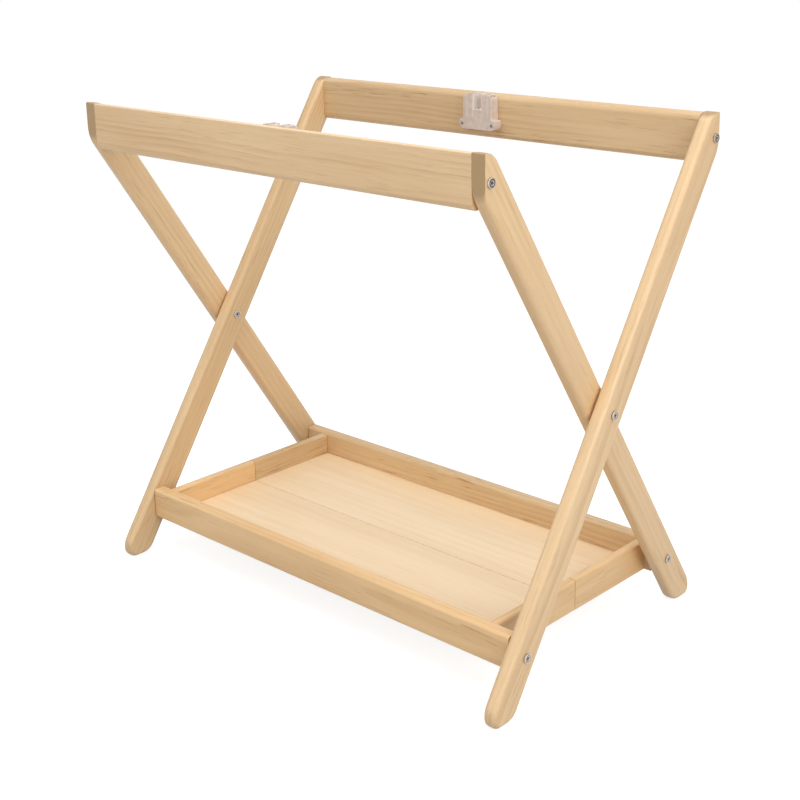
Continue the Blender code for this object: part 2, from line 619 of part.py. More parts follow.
def make_end_board(name, side, carrier):
    """A short board under a pair of legs, from the middle of the tray to its long board.

    A rebate along its lower inner edge takes the panel.
    """
    top = TRAY_BOTTOM + END_BOARD_HEIGHT
    rebate_x = side * (END_INNER_X + PANEL_REBATE)
    corners = [
        (side * END_OUTER_X, TRAY_BOTTOM, 0.0),
        (side * END_OUTER_X, top, END_BOARD_EDGE_RADIUS),
        (side * END_INNER_X, top, END_BOARD_EDGE_RADIUS),
        (side * END_INNER_X, PANEL_TOP + FIT, 0.0),
        (rebate_x, PANEL_TOP + FIT, 0.0),
        (rebate_x, TRAY_BOTTOM, 0.0),
    ]
    bm = bmesh.new()
    add_y_prism(bm, rounded_outline(corners, EDGE_STEPS), FIT, BOARD_INNER_Y - FIT)
    board = add_piece(bm, name, carrier, WOOD, smooth=True)
    bm = bmesh.new()
    dowel_hole = rod(-OVERRUN, TRAY_DOWEL_IN_END + FIT, TRAY_DOWEL_RADIUS + FIT)
    place = (side * END_MIDDLE_X, BOARD_INNER_Y - FIT, TRAY_DOWEL_Z)
    add_turned(bm, dowel_hole, place, (0, -1, 0), SMALL_SIDES)
    cut(board, bm, f"{name}_holes", carrier)


def make_panel(end, carrier):
    bm = bmesh.new()
    y_range = (FIT, PANEL_INNER_Y)
    add_box(bm, (-PANEL_END_X, PANEL_END_X), y_range, (TRAY_BOTTOM, PANEL_TOP))
    panel = add_piece(bm, f"tray_{end}_panel", carrier, PALE_WOOD)
    bm = bmesh.new()
    for side in (-1.0, 1.0):
        add_hinge_pilots(bm, side * HINGE_CENTRE_X)
    cut(panel, bm, f"tray_{end}_panel_holes", carrier)


def make_tray_fasteners(end, outer_side, inner_side, carrier):
    """The dowels at one tray half's corners, and the inserts in its long board's ends."""
    dowel = rod(-(FIT + TRAY_DOWEL_IN_END), TRAY_DOWEL_IN_BOARD, TRAY_DOWEL_RADIUS)
    insert = tube(FIT, INSERT_LENGTH, BOLT_RADIUS + BORE_CLEARANCE, INSERT_RADIUS)
    for side, x, outward, _, _ in board_ends(outer_side, inner_side):
        add_turned_piece(f"tray_{end}_{side}_dowel", carrier, DOWEL_WOOD, dowel,
                         (outward * END_MIDDLE_X, BOARD_INNER_Y, TRAY_DOWEL_Z), (0, 1, 0),
                         SMALL_SIDES)
        add_turned_piece(f"tray_{end}_{side}_insert", carrier, BRASS, insert,
                         (x, TRAY_PIVOT_Y, TRAY_PIVOT_HEIGHT), (-outward, 0, 0),
                         SMALL_SIDES, hollow=True)


def make_tray_bolts(end, outer_side, inner_side, carrier, shank_past_leg):
    """The bolts on which one tray half turns, with the washers between its board and the legs."""
    washer = tube(FIT, BOARD_END_GAP - FIT, BOLT_RADIUS + BORE_CLEARANCE, BOARD_WASHER_RADIUS)
    shank = LEG_THICKNESS + FIT + shank_past_leg
    for side, _, outward, inner, outer in board_ends(outer_side, inner_side):
        name = f"tray_{end}_{side}"
        inward = (-outward, 0, 0)
        add_turned_piece(f"{name}_bolt", carrier, STEEL, bolt(shank),
                         (outer + outward * FIT, TRAY_PIVOT_Y, TRAY_PIVOT_HEIGHT), inward)
        add_turned_piece(f"{name}_washer", carrier, STEEL, washer,
                         (inner, TRAY_PIVOT_Y, TRAY_PIVOT_HEIGHT), inward, SMALL_SIDES,
                         hollow=True)


def knuckle_room(centre, own_middle):
    """The X ranges that a leaf leaves free for the other leaf's knuckles."""
    sixth = HINGE_WIDTH / 6
    gap = HINGE_KNUCKLE_GAP / 2
    if not own_middle:
        return ((centre - sixth - gap, centre + sixth + gap),)
    past = HINGE_WIDTH / 2 + OVERRUN
    return (
        (centre - past, centre - sixth + gap),
        (centre + sixth - gap, centre + past),
    )


def make_hinge_leaf(name, centre, carrier, own_middle):
    """A hinge leaf under one tray half: a plate rolled round the pin at its knuckles."""
    radius = HINGE_KNUCKLE_RADIUS
    under = radius - HINGE_LEAF_THICKNESS
    meet = math.asin(under / radius)
    outline = [(HINGE_LEAF_LENGTH, HINGE_AXIS_Z + radius)]
    steps = 4 * EDGE_STEPS
    for step in range(steps + 1):
        angle = math.pi / 2 + (3 * math.pi / 2 + meet) * step / steps
        outline.append((radius * math.cos(angle), HINGE_AXIS_Z + radius * math.sin(angle)))
    outline.append((HINGE_LEAF_LENGTH, HINGE_AXIS_Z + under))
    bm = bmesh.new()
    add_x_prism(bm, outline, centre - HINGE_WIDTH / 2, centre + HINGE_WIDTH / 2)
    leaf = add_piece(bm, name, carrier, STEEL, smooth=True)
    bm = bmesh.new()
    room = radius + FIT
    for x_range in knuckle_room(centre, own_middle):
        add_box(bm, x_range, (-room, room), (HINGE_AXIS_Z - room, HINGE_AXIS_Z + room))
    cut(leaf, bm, f"{name}_knuckle_room", carrier)
    bm = bmesh.new()
    reach = HINGE_WIDTH / 2 + OVERRUN
    bore = rod(-reach, reach, HINGE_PIN_RADIUS + FIT)
    add_turned(bm, bore, (centre, 0.0, HINGE_AXIS_Z), (1, 0, 0), SMALL_SIDES)
    hole = flat_screw_hole(HINGE_SCREW_RADIUS, HINGE_SCREW_HEAD_RADIUS, 2 * OVERRUN)
    for x, y in hinge_screw_places(centre):
        add_turned(bm, hole, (x, y, HINGE_AXIS_Z + under), (0, 0, 1), SMALL_SIDES)
    cut(leaf, bm, f"{name}_holes", carrier)


def make_hinge_pin(name, centre, carrier):
    pin = rod(-HINGE_WIDTH / 2, HINGE_WIDTH / 2, HINGE_PIN_RADIUS)
    add_turned_piece(name, carrier, STEEL, pin, (centre, 0.0, HINGE_AXIS_Z), (1, 0, 0), SMALL_SIDES)


def make_frame(end, outer_side, inner_side, carrier):
    """One rectangular frame: a rail on top of an outer leg and an inner leg."""
    make_rail(f"{end}_rail", carrier)
    make_leg(f"{outer_side}_outer_leg", carrier, -OUTER_FACE, -OUTER_INNER_FACE, True)
    make_leg(f"{inner_side}_inner_leg", carrier, INNER_FACE, INNER_OUTER_FACE, False)
    make_rail_fasteners(end, outer_side, inner_side, carrier)
    make_crossing(outer_side, carrier)
    make_bracket(end, (outer_side, inner_side), carrier)


def make_tray_half(end, outer_side, inner_side, carrier, own_middle):
    """Half of the tray, whose outer side is that of the outer leg that it turns on."""
    make_board(end, carrier)
    make_panel(end, carrier)
    make_tray_fasteners(end, outer_side, inner_side, carrier)
    for name, side in ((outer_side, -1.0), (inner_side, 1.0)):
        make_end_board(f"tray_{end}_{name}_end_board", side, carrier)
        leaf = f"hinge_{name}_{end}_leaf"
        make_hinge_leaf(leaf, side * HINGE_CENTRE_X, carrier, own_middle)


def main():
    clear_scene()
    crossing = (0.0, 0.0, CROSSING_HEIGHT)
    front_frame = pivot_empty("front_frame", crossing)
    rear_frame = pivot_empty("rear_frame", crossing, half_turn=True)
    make_frame("front", "left", "right", front_frame)
    make_frame("rear", "right", "left", rear_frame)
    back_half = pivot_empty("tray_back_half", (0.0, TRAY_PIVOT_Y, TRAY_PIVOT_HEIGHT))
    front_half = pivot_empty("tray_front_half", (0.0, 0.0, HINGE_AXIS_Z), half_turn=True)
    make_tray_half("back", "left", "right", back_half, False)
    make_tray_half("front", "right", "left", front_half, True)
    make_hinge_pin("hinge_left_pin", -HINGE_CENTRE_X, back_half)
    make_hinge_pin("hinge_right_pin", HINGE_CENTRE_X, back_half)
    make_tray_bolts("back", "left", "right", front_frame, BOARD_END_GAP + BOLT_IN_INSERT)
    make_tray_bolts("front", "right", "left", rear_frame, 0.0)


main()
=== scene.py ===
# %% [markdown]
# # A folding bassinet stand in pale wood
# The stand is two rectangular frames that cross like scissors, with a shallow tray between their
# feet and a clear bracket in the middle of each rail. The solids are already there, at their real
# size and place. This lesson gives them their finish: softened edges, satin wood whose grain runs
# along every plank, turned steel bolts, clear plastic, and a plain studio round them.

import json
import math
import random

import bpy
from mathutils import Matrix, Vector

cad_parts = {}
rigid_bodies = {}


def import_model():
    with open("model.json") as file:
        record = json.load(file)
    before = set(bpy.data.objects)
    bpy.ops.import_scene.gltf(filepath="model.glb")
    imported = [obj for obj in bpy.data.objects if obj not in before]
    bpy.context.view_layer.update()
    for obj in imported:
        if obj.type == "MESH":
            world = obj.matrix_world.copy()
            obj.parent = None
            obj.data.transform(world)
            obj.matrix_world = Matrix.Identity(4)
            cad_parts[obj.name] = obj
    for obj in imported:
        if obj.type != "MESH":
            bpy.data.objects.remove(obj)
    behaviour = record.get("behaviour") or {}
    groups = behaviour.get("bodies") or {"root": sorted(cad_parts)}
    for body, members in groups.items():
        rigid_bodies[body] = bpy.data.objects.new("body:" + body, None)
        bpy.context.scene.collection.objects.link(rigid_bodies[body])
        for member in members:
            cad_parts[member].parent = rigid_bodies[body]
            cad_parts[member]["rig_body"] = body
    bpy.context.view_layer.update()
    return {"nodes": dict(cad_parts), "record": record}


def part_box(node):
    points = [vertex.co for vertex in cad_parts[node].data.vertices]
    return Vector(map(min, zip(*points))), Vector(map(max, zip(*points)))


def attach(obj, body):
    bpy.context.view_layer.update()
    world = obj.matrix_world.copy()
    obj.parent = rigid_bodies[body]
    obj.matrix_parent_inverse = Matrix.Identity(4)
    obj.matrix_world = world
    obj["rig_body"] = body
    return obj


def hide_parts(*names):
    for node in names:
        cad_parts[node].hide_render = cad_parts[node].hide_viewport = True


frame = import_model()
nodes = frame["nodes"]

# %% [markdown]
# ## The camera
# The photograph was taken from the right, in front of and a little above the stand, with a long
# lens. The direction is written as two angles and a small roll, so each can be changed alone. The
# lens shift moves the picture's middle to where it lies in the photograph, and doesn't turn the
# camera, so upright lines keep their angle.

# %% Set the camera
PICTURE = 800  # pixels along each side
FOCAL_PIXELS = 1396.37
PICTURE_CENTRE = (420.2, 313.93)  # where the lens axis meets the picture, in pixels
CAMERA_PLACE = (1.34754, -1.38973, 0.95503)
CAMERA_TURN, CAMERA_TILT, CAMERA_ROLL = -0.748501, -0.275111, -0.01419
SENSOR_WIDTH = 36.0

forward = Vector((
    math.sin(CAMERA_TURN) * math.cos(CAMERA_TILT),
    math.cos(CAMERA_TURN) * math.cos(CAMERA_TILT),
    math.sin(CAMERA_TILT),
))
level_right = Vector((math.cos(CAMERA_TURN), -math.sin(CAMERA_TURN), 0.0))
level_up = level_right.cross(forward)
right = math.cos(CAMERA_ROLL) * level_right + math.sin(CAMERA_ROLL) * level_up
up = -math.sin(CAMERA_ROLL) * level_right + math.cos(CAMERA_ROLL) * level_up
lens = bpy.data.cameras.new("photo_camera")
lens.sensor_width = SENSOR_WIDTH
lens.lens = FOCAL_PIXELS * SENSOR_WIDTH / PICTURE
lens.shift_x = (PICTURE / 2 - PICTURE_CENTRE[0]) / PICTURE
lens.shift_y = (PICTURE_CENTRE[1] - PICTURE / 2) / PICTURE
camera = bpy.data.objects.new("photo_camera", lens)
bpy.context.scene.collection.objects.link(camera)
turn = Matrix((right, up, -forward)).transposed().to_4x4()
camera.matrix_world = Matrix.Translation(CAMERA_PLACE) @ turn
bpy.context.scene.camera = camera
print("lens", round(lens.lens, 2), "mm")

# %% [markdown]
# ## Planks with softened edges
# A solid from the frame is made of loose triangles, and each of its edges is perfectly sharp. A
# real plank has had its edges eased with sandpaper, and that thin rounded line is what catches
# the light. So each plank is copied, the copy's triangles are merged into whole faces, and a
# narrow bevel runs along every crisp edge. Weighted normals then keep the broad faces flat.

# %% A helper that eases the edges of a copy
MERGE_DISTANCE = 0.00001
FLAT_ANGLE = math.radians(0.4)
CRISP_ANGLE = math.radians(40.0)
SMOOTH_ANGLE = math.radians(36.0)


def only(piece):
    """Leaves this object alone selected and active."""
    bpy.ops.object.select_all(action="DESELECT")
    piece.select_set(True)
    bpy.context.view_layer.objects.active = piece


def apply_modifiers(piece):
    """Bakes the piece's modifiers into its mesh, first to last."""
    only(piece)
    for modifier in list(piece.modifiers):
        bpy.ops.object.modifier_apply(modifier=modifier.name)


def merged_copy(node, name):
    """A copy of a solid's mesh with its triangles merged into whole faces."""
    piece = bpy.data.objects.new(name, nodes[node].data.copy())
    bpy.context.scene.collection.objects.link(piece)
    only(piece)
    bpy.ops.object.mode_set(mode="EDIT")
    bpy.ops.mesh.select_all(action="SELECT")
    bpy.ops.mesh.remove_doubles(threshold=MERGE_DISTANCE)
    bpy.ops.mesh.dissolve_limited(angle_limit=FLAT_ANGLE)
    bpy.ops.object.mode_set(mode="OBJECT")
    bpy.ops.mesh.customdata_custom_splitnormals_clear()
    return piece


def ease_edges(piece, width, segments):
    """A narrow bevel along every crisp edge, and normals that keep the broad faces flat."""
    bevel = piece.modifiers.new("eased edges", "BEVEL")
    bevel.width = width
    bevel.segments = segments
    bevel.limit_method = "ANGLE"
    bevel.angle_limit = CRISP_ANGLE
    bevel.miter_outer = "MITER_ARC"
    apply_modifiers(piece)
    bpy.ops.object.shade_smooth_by_angle(angle=SMOOTH_ANGLE)
    flat = piece.modifiers.new("flat faces", "WEIGHTED_NORMAL")
    flat.keep_sharp = True
    apply_modifiers(piece)


def stands_for(piece, node):
    """The piece moves with the node's body and is shown in its place."""
    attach(piece, nodes[node]["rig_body"])
    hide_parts(node)


slots = {part["node"]: part["material_slot"] for part in frame["record"]["subparts"]}
print("slots in use", sorted(set(slots.values())))

# %% [markdown]
# ## Every plank eased
# Legs, rails and boards have their edges eased by little more than half a millimetre, and the thin
# panels in the tray's floor by about one. It could be done plank by plank, but a width for each
# kind of wood treats them all alike and can still be changed in one place. The copy then stands
# for its solid, and moves with the body that the solid belongs to.

# %% Ease the planks
EASED_WIDTH = {"wood": 0.0006, "panel_wood": 0.0011}
EASED_SEGMENTS = 2

planks = {}
for node in sorted(nodes):
    if slots[node] in EASED_WIDTH:
        plank = merged_copy(node, f"eased_{node}")
        ease_edges(plank, EASED_WIDTH[slots[node]], EASED_SEGMENTS)
        stands_for(plank, node)
        planks[node] = plank
print("planks", len(planks), "faces", sum(len(plank.data.polygons) for plank in planks.values()))

# %% [markdown]
# ## Words for nodes
# A material is a tree of nodes, and wiring it by hand takes several lines for each of them. These
# helpers are the words that the finishes are written in: multiply, spread a range, mix two
# colours, show a height as relief. Each takes numbers or other nodes' sockets, so that a pattern
# reads like a formula.

# %% Helpers that build node groups
def new_group(name, inputs, outputs):
    """A shader node group with its sockets. Each socket is (name, kind, value)."""
    group = bpy.data.node_groups.new(name, "ShaderNodeTree")
    for direction, sockets in (("INPUT", inputs), ("OUTPUT", outputs)):
        for socket_name, kind, value in sockets:
            socket = group.interface.new_socket(socket_name, in_out=direction, socket_type=kind)
            if value is not None:
                socket.default_value = value
    entry = group.nodes.new("NodeGroupInput")
    exit_node = group.nodes.new("NodeGroupOutput")
    return group, entry, exit_node


def add_node(tree, kind, links=(), **settings):
    """A node with its settings. Each link is (input, value or the socket that feeds it)."""
    node = tree.nodes.new(kind)
    for setting, value in settings.items():
        setattr(node, setting, value)
    for socket, value in links:
        if isinstance(value, bpy.types.NodeSocket):
            tree.links.new(value, node.inputs[socket])
        else:
            node.inputs[socket].default_value = value
    return node


def maths(tree, operation, first, second=0.0):
    """One sum of two numbers or sockets."""
    links = ((0, first), (1, second))
    return add_node(tree, "ShaderNodeMath", links, operation=operation).outputs[0]


def product(tree, *factors):
    """All the factors multiplied together."""
    result = factors[0]
    for factor in factors[1:]:
        result = maths(tree, "MULTIPLY", result, factor)
    return result


def stretched(tree, vector, scale):
    """The vector, scaled on each axis."""
    links = ((0, vector), (1, scale))
    return add_node(tree, "ShaderNodeVectorMath", links, operation="MULTIPLY").outputs[0]


def length_of(tree, vector):
    """How long the vector is."""
    links = ((0, vector),)
    return add_node(tree, "ShaderNodeVectorMath", links, operation="LENGTH").outputs["Value"]


def alike(tree, first, second):
    """1 where two directions are the same, 0 where they are square to each other."""
    links = ((0, first), (1, second))
    return add_node(tree, "ShaderNodeVectorMath", links, operation="DOT_PRODUCT").outputs["Value"]


def noise(tree, vector, detail=2.0, roughness=0.5, scale=1.0):
    """Soft random values between 0 and 1."""
    links = (("Vector", vector), ("Scale", scale), ("Detail", detail), ("Roughness", roughness))
    return add_node(tree, "ShaderNodeTexNoise", links).outputs[0]


def ranged(tree, value, low, high, to_low=0.0, to_high=1.0):
    """The value's run from low to high, spread over another run and held at its ends."""
    links = ((0, value), (1, low), (2, high), (3, to_low), (4, to_high))
    return add_node(tree, "ShaderNodeMapRange", links, clamp=True).outputs[0]


def mixed(tree, factor, first, second):
    """The first colour where the factor is 0, and the second where it is 1."""
    links = ((0, factor), (6, first), (7, second))
    return add_node(tree, "ShaderNodeMix", links, data_type="RGBA").outputs[2]


def add_bump(tree, strength, distance, height):
    """A normal that shows the height as relief."""
    links = (("Strength", strength), ("Distance", distance), ("Height", height))
    return add_node(tree, "ShaderNodeBump", links).outputs[0]


print("node helpers ready")

# %% [markdown]
# ## Wood grain
# Grain is what is left of the tree's rings where a saw has cut through them. So the pattern is
# made the way the tree makes it: rings round an axis that runs along the plank, bent a little by
# slow noise, and cut open by the plank's own faces. Fine fibres, short dark flecks and sparse
# brown lines run along it. They are noise stretched along the plank, and the flecks and lines keep
# only its highest part. It is one node group, so that every plank uses the same wood with its own
# values.

# %% The grain
FLOAT, COLOUR, VECTOR = "NodeSocketFloat", "NodeSocketColor", "NodeSocketVector"
ACROSS = (0.0, 1.0, 1.0)  # keeps only what lies across the grain, or across a bolt's axis
# How often each pattern repeats in a metre: along the plank, and in the two ways across it.
WARP_SCALE = (1.9, 11.0, 11.0)
FADE_SCALE = (2.4, 34.0, 34.0)  # where the rings fade out and come back
FIBRE_SCALE = (28.0, 1250.0, 1250.0)
FLECK_SCALE = (170.0, 2100.0, 2100.0)
TONE_SCALE = (2.2, 16.0, 16.0)
STREAK_SCALE = (3.4, 120.0, 120.0)
LINE_SCALE = (19.0, 400.0, 400.0)  # thin brown lines, two or three centimetres long
LINE_PATCH_SCALE = (5.0, 26.0, 26.0)
# Which part of each pattern shows, from where it starts to where it is full.
LATE_WOOD_RISE, LATE_WOOD_END = (0.25, 0.88), (1.0, 0.90)  # shares of one ring's width
FADE_RANGE = (0.38, 0.66)
FIBRE_RANGE = (0.35, 0.75)
FLECK_RANGE = (0.66, 0.74)
TONE_RANGE = (0.3, 0.7)
STREAK_RANGE = (0.35, 0.75)
LINE_RANGE = (0.575, 0.66)
LINE_PATCH_RANGE = (0.40, 0.58)
# How far the rings wander, in metres, and how much each pattern darkens or lowers the wood.
WARP_REACH = 0.034
TONE_DEPTH, STREAK_DEPTH, FIBRE_DEPTH, FLECK_DEPTH = 0.34, 0.16, 0.10, 0.24
LATE_WOOD_RELIEF, FLECK_RELIEF = -0.4, 0.6


def make_grain_group():
    """Rings, fibres, flecks and brown lines, as a colour, a depth of tone and a height."""
    group, entry, exit_node = new_group(
        "wood grain",
        (
            ("Plank", VECTOR, None),
            ("Pale", COLOUR, (1.0, 1.0, 1.0, 1.0)),
            ("Deep", COLOUR, (0.5, 0.5, 0.5, 1.0)),
            ("Ring Width", FLOAT, 0.003),
            ("Ring Contrast", FLOAT, 0.5),
            ("Line Colour", COLOUR, (0.3, 0.2, 0.1, 1.0)),
            ("Line Strength", FLOAT, 0.5),
        ),
        (("Colour", COLOUR, None), ("Shine", FLOAT, None), ("Height", FLOAT, None)),
    )
    plank = entry.outputs["Plank"]
    warp = noise(group, stretched(group, plank, WARP_SCALE))
    warp = product(group, maths(group, "SUBTRACT", warp, 0.5), WARP_REACH)
    radius = length_of(group, stretched(group, plank, ACROSS))
    turns = maths(group, "DIVIDE", maths(group, "ADD", radius, warp), entry.outputs["Ring Width"])
    year = maths(group, "FRACT", turns)
    late = product(group, ranged(group, year, *LATE_WOOD_RISE), ranged(group, year, *LATE_WOOD_END))
    strength = ranged(group, noise(group, stretched(group, plank, FADE_SCALE)), *FADE_RANGE)
    late = product(group, late, strength)
    fibre = noise(group, stretched(group, plank, FIBRE_SCALE), detail=3.0, roughness=0.65)
    fleck = noise(group, stretched(group, plank, FLECK_SCALE), detail=1.0)
    fleck = ranged(group, fleck, *FLECK_RANGE)
    tone = noise(group, stretched(group, plank, TONE_SCALE), detail=3.0)
    streak = noise(group, stretched(group, plank, STREAK_SCALE), detail=4.0)
    depth = product(group, late, entry.outputs["Ring Contrast"])
    for layer in (
        product(group, ranged(group, tone, *TONE_RANGE), TONE_DEPTH),
        product(group, ranged(group, streak, *STREAK_RANGE), STREAK_DEPTH),
        ranged(group, fibre, *FIBRE_RANGE, -FIBRE_DEPTH, FIBRE_DEPTH),
        product(group, fleck, FLECK_DEPTH),
    ):
        depth = maths(group, "ADD", depth, layer)
    depth = ranged(group, depth, 0.0, 1.0)
    colour = mixed(group, depth, entry.outputs["Pale"], entry.outputs["Deep"])
    lines = noise(group, stretched(group, plank, LINE_SCALE), detail=3.0, roughness=0.6)
    patches = noise(group, stretched(group, plank, LINE_PATCH_SCALE))
    lines = product(group, ranged(group, lines, *LINE_RANGE),
                    ranged(group, patches, *LINE_PATCH_RANGE), entry.outputs["Line Strength"])
    colour = mixed(group, lines, colour, entry.outputs["Line Colour"])
    height = maths(group, "ADD", product(group, late, LATE_WOOD_RELIEF), fibre)
    height = maths(group, "SUBTRACT", height, product(group, fleck, FLECK_RELIEF))
    group.links.new(colour, exit_node.inputs["Colour"])
    group.links.new(depth, exit_node.inputs["Shine"])
    group.links.new(height, exit_node.inputs["Height"])
    return group


grain_group = make_grain_group()
print("grain nodes", len(grain_group.nodes))

# %% [markdown]
# ## Worn edges and painted highlights
# Hands and sandpaper polish an edge first. Where a rounded edge bends away, a bevel node's normal
# differs from the face's own, and the difference is a mask of the edges. The same group serves the
# wood, where the edge turns paler, partly as wear and partly as a painted highlight, the metal,
# where the plating is rubbed bright, and the clear brackets, where it lays a painted highlight.

# %% The edge mask
BENT_RANGE = (0.995, 0.86)  # how alike the two normals are where wear starts, and where it is full
WEAR_PATCH_RANGE = (0.35, 0.62)


def make_edge_group():
    """A mask of the edges, which reaches a little onto the faces and is broken into patches."""
    group, entry, exit_node = new_group(
        "worn edges",
        (("Reach", FLOAT, 0.0012), ("Place", VECTOR, None), ("Patch Size", FLOAT, 120.0)),
        (("Mask", FLOAT, None),),
    )
    bevel = add_node(group, "ShaderNodeBevel", (("Radius", entry.outputs["Reach"]),), samples=4)
    plain = add_node(group, "ShaderNodeNewGeometry").outputs["Normal"]
    edge = ranged(group, alike(group, bevel.outputs[0], plain), *BENT_RANGE)
    patches = noise(group, entry.outputs["Place"], detail=3.0, scale=entry.outputs["Patch Size"])
    wear_and_highlight = product(group, edge, ranged(group, patches, *WEAR_PATCH_RANGE))
    group.links.new(wear_and_highlight, exit_node.inputs["Mask"])
    return group


edge_group = make_edge_group()
print("edge nodes", len(edge_group.nodes))

# %% [markdown]
# ## The woods
# In the photograph the rear rail, the left inner leg and the back of the tray are browner, the
# tray's front and right-hand end are warmer, and its panels are pale, with quiet rings and dark
# sawn edges, so each of these planks gets a beech of its own.
# Beech is written down once, and each of the others says only what differs, so that all stay
# related. Colours are given as seen on a screen and turned into the linear light that a shader
# takes.

# %% Colours and strengths of the woods
def srgb(red, green, blue):
    """A colour as seen on a screen, 0 to 255, as the linear one that a shader takes."""
    linear = []
    for value in (red, green, blue):
        share = value / 255
        linear.append(share / 12.92 if share <= 0.04045 else ((share + 0.055) / 1.055) ** 2.4)
    return (*linear, 1.0)


# pale beech edges: partly sanding wear, partly a painted highlight along the edges
WEAR_AND_HIGHLIGHT_PALE = srgb(244, 220, 182)
SAWN_DARK = srgb(158, 120, 78)
BEECH = {"pale": srgb(236, 204, 159), "deep": srgb(198, 155, 106), "edge": WEAR_AND_HIGHLIGHT_PALE,
         "ring": 0.0085, "contrast": 0.38, "edge_share": 0.45, "end_share": 0.85, "lines": 0.27}
RAIL_BEECH = BEECH | {"end_share": 0.0, "lines": 0.21}
BROWN_BEECH = BEECH | {"pale": srgb(227, 195, 150), "deep": srgb(188, 147, 99), "lines": 0.36}
DEEP_BEECH = BEECH | {"pale": srgb(223, 192, 147), "deep": srgb(185, 144, 97), "lines": 0.58}
WARM_BEECH = BEECH | {"pale": srgb(238, 200, 148), "deep": srgb(200, 153, 99), "lines": 0.40}
PANEL = BEECH | {"pale": srgb(250, 225, 188), "deep": srgb(224, 191, 148), "edge": SAWN_DARK,
                 "ring": 0.0160, "contrast": 0.20, "edge_share": 0.85, "lines": 0.08}
WOODS = {  # the planks that aren't plain beech
    "front_rail": RAIL_BEECH,
    "rear_rail": DEEP_BEECH | {"end_share": 0.0},
    "left_inner_leg": BROWN_BEECH,
    "tray_back_board": DEEP_BEECH,
    "tray_back_left_end_board": DEEP_BEECH,
    "tray_back_right_end_board": WARM_BEECH,
    "tray_front_board": WARM_BEECH,
    "tray_front_left_end_board": WARM_BEECH,
    "tray_front_right_end_board": WARM_BEECH,
    "tray_front_panel": PANEL,
    "tray_back_panel": PANEL,
}
print("planks that aren't plain beech", len(WOODS))

# %% [markdown]
# ## The plank finish
# Each plank is cut from another part of the tree, so each gets its own place in the pattern: a
# Mapping node turns the grain along the plank and moves its middle to a spot of its own beside
# the tree's heart. Where a face cuts across the fibres, as on the top of a leg, it drinks more
# lacquer and looks darker. The group can't know which way a face points, so the material compares
# the face's normal with the plank's own direction. Down at the feet that darkening fades out,
# because there the photograph shows the rounded ends as pale as the rest.

# %% The material of a plank
LINE_BROWN = srgb(154, 106, 56)
HEART_DISTANCE = (0.05, 0.11)  # from the plank's middle to the tree's heart, in metres
HEART_ALONG = (0.0, 9.0)
RING_WIDTH_SPREAD = (0.85, 1.2)
RING_CONTRAST_SPREAD = (0.8, 1.15)
ALONG = Vector((1.0, 0.0, 0.0))
DEPTHWAYS = Vector((0.0, 1.0, 0.0))
END_GRAIN = srgb(164, 131, 88)
END_GRAIN_FROM, END_GRAIN_FULL = 0.15, 0.52
FOOT_HEIGHT, TOP_HEIGHT = 0.15, 0.55  # between them the end grain goes from faint to full
FOOT_SHARE = 0.25
LACQUER_COAT = 0.12
LACQUER_ROUGHNESS = 0.34
WOOD_ROUGHNESS = (0.40, 0.56)  # of the palest and of the darkest wood
WORN_POLISH = 0.15
WOOD_BUMP, WOOD_RELIEF = 0.16, 0.0004


def new_finish(name):
    """A new material, its node tree and its Principled shader."""
    finish = bpy.data.materials.new(name)
    finish.use_nodes = True
    return finish, finish.node_tree, finish.node_tree.nodes["Principled BSDF"]


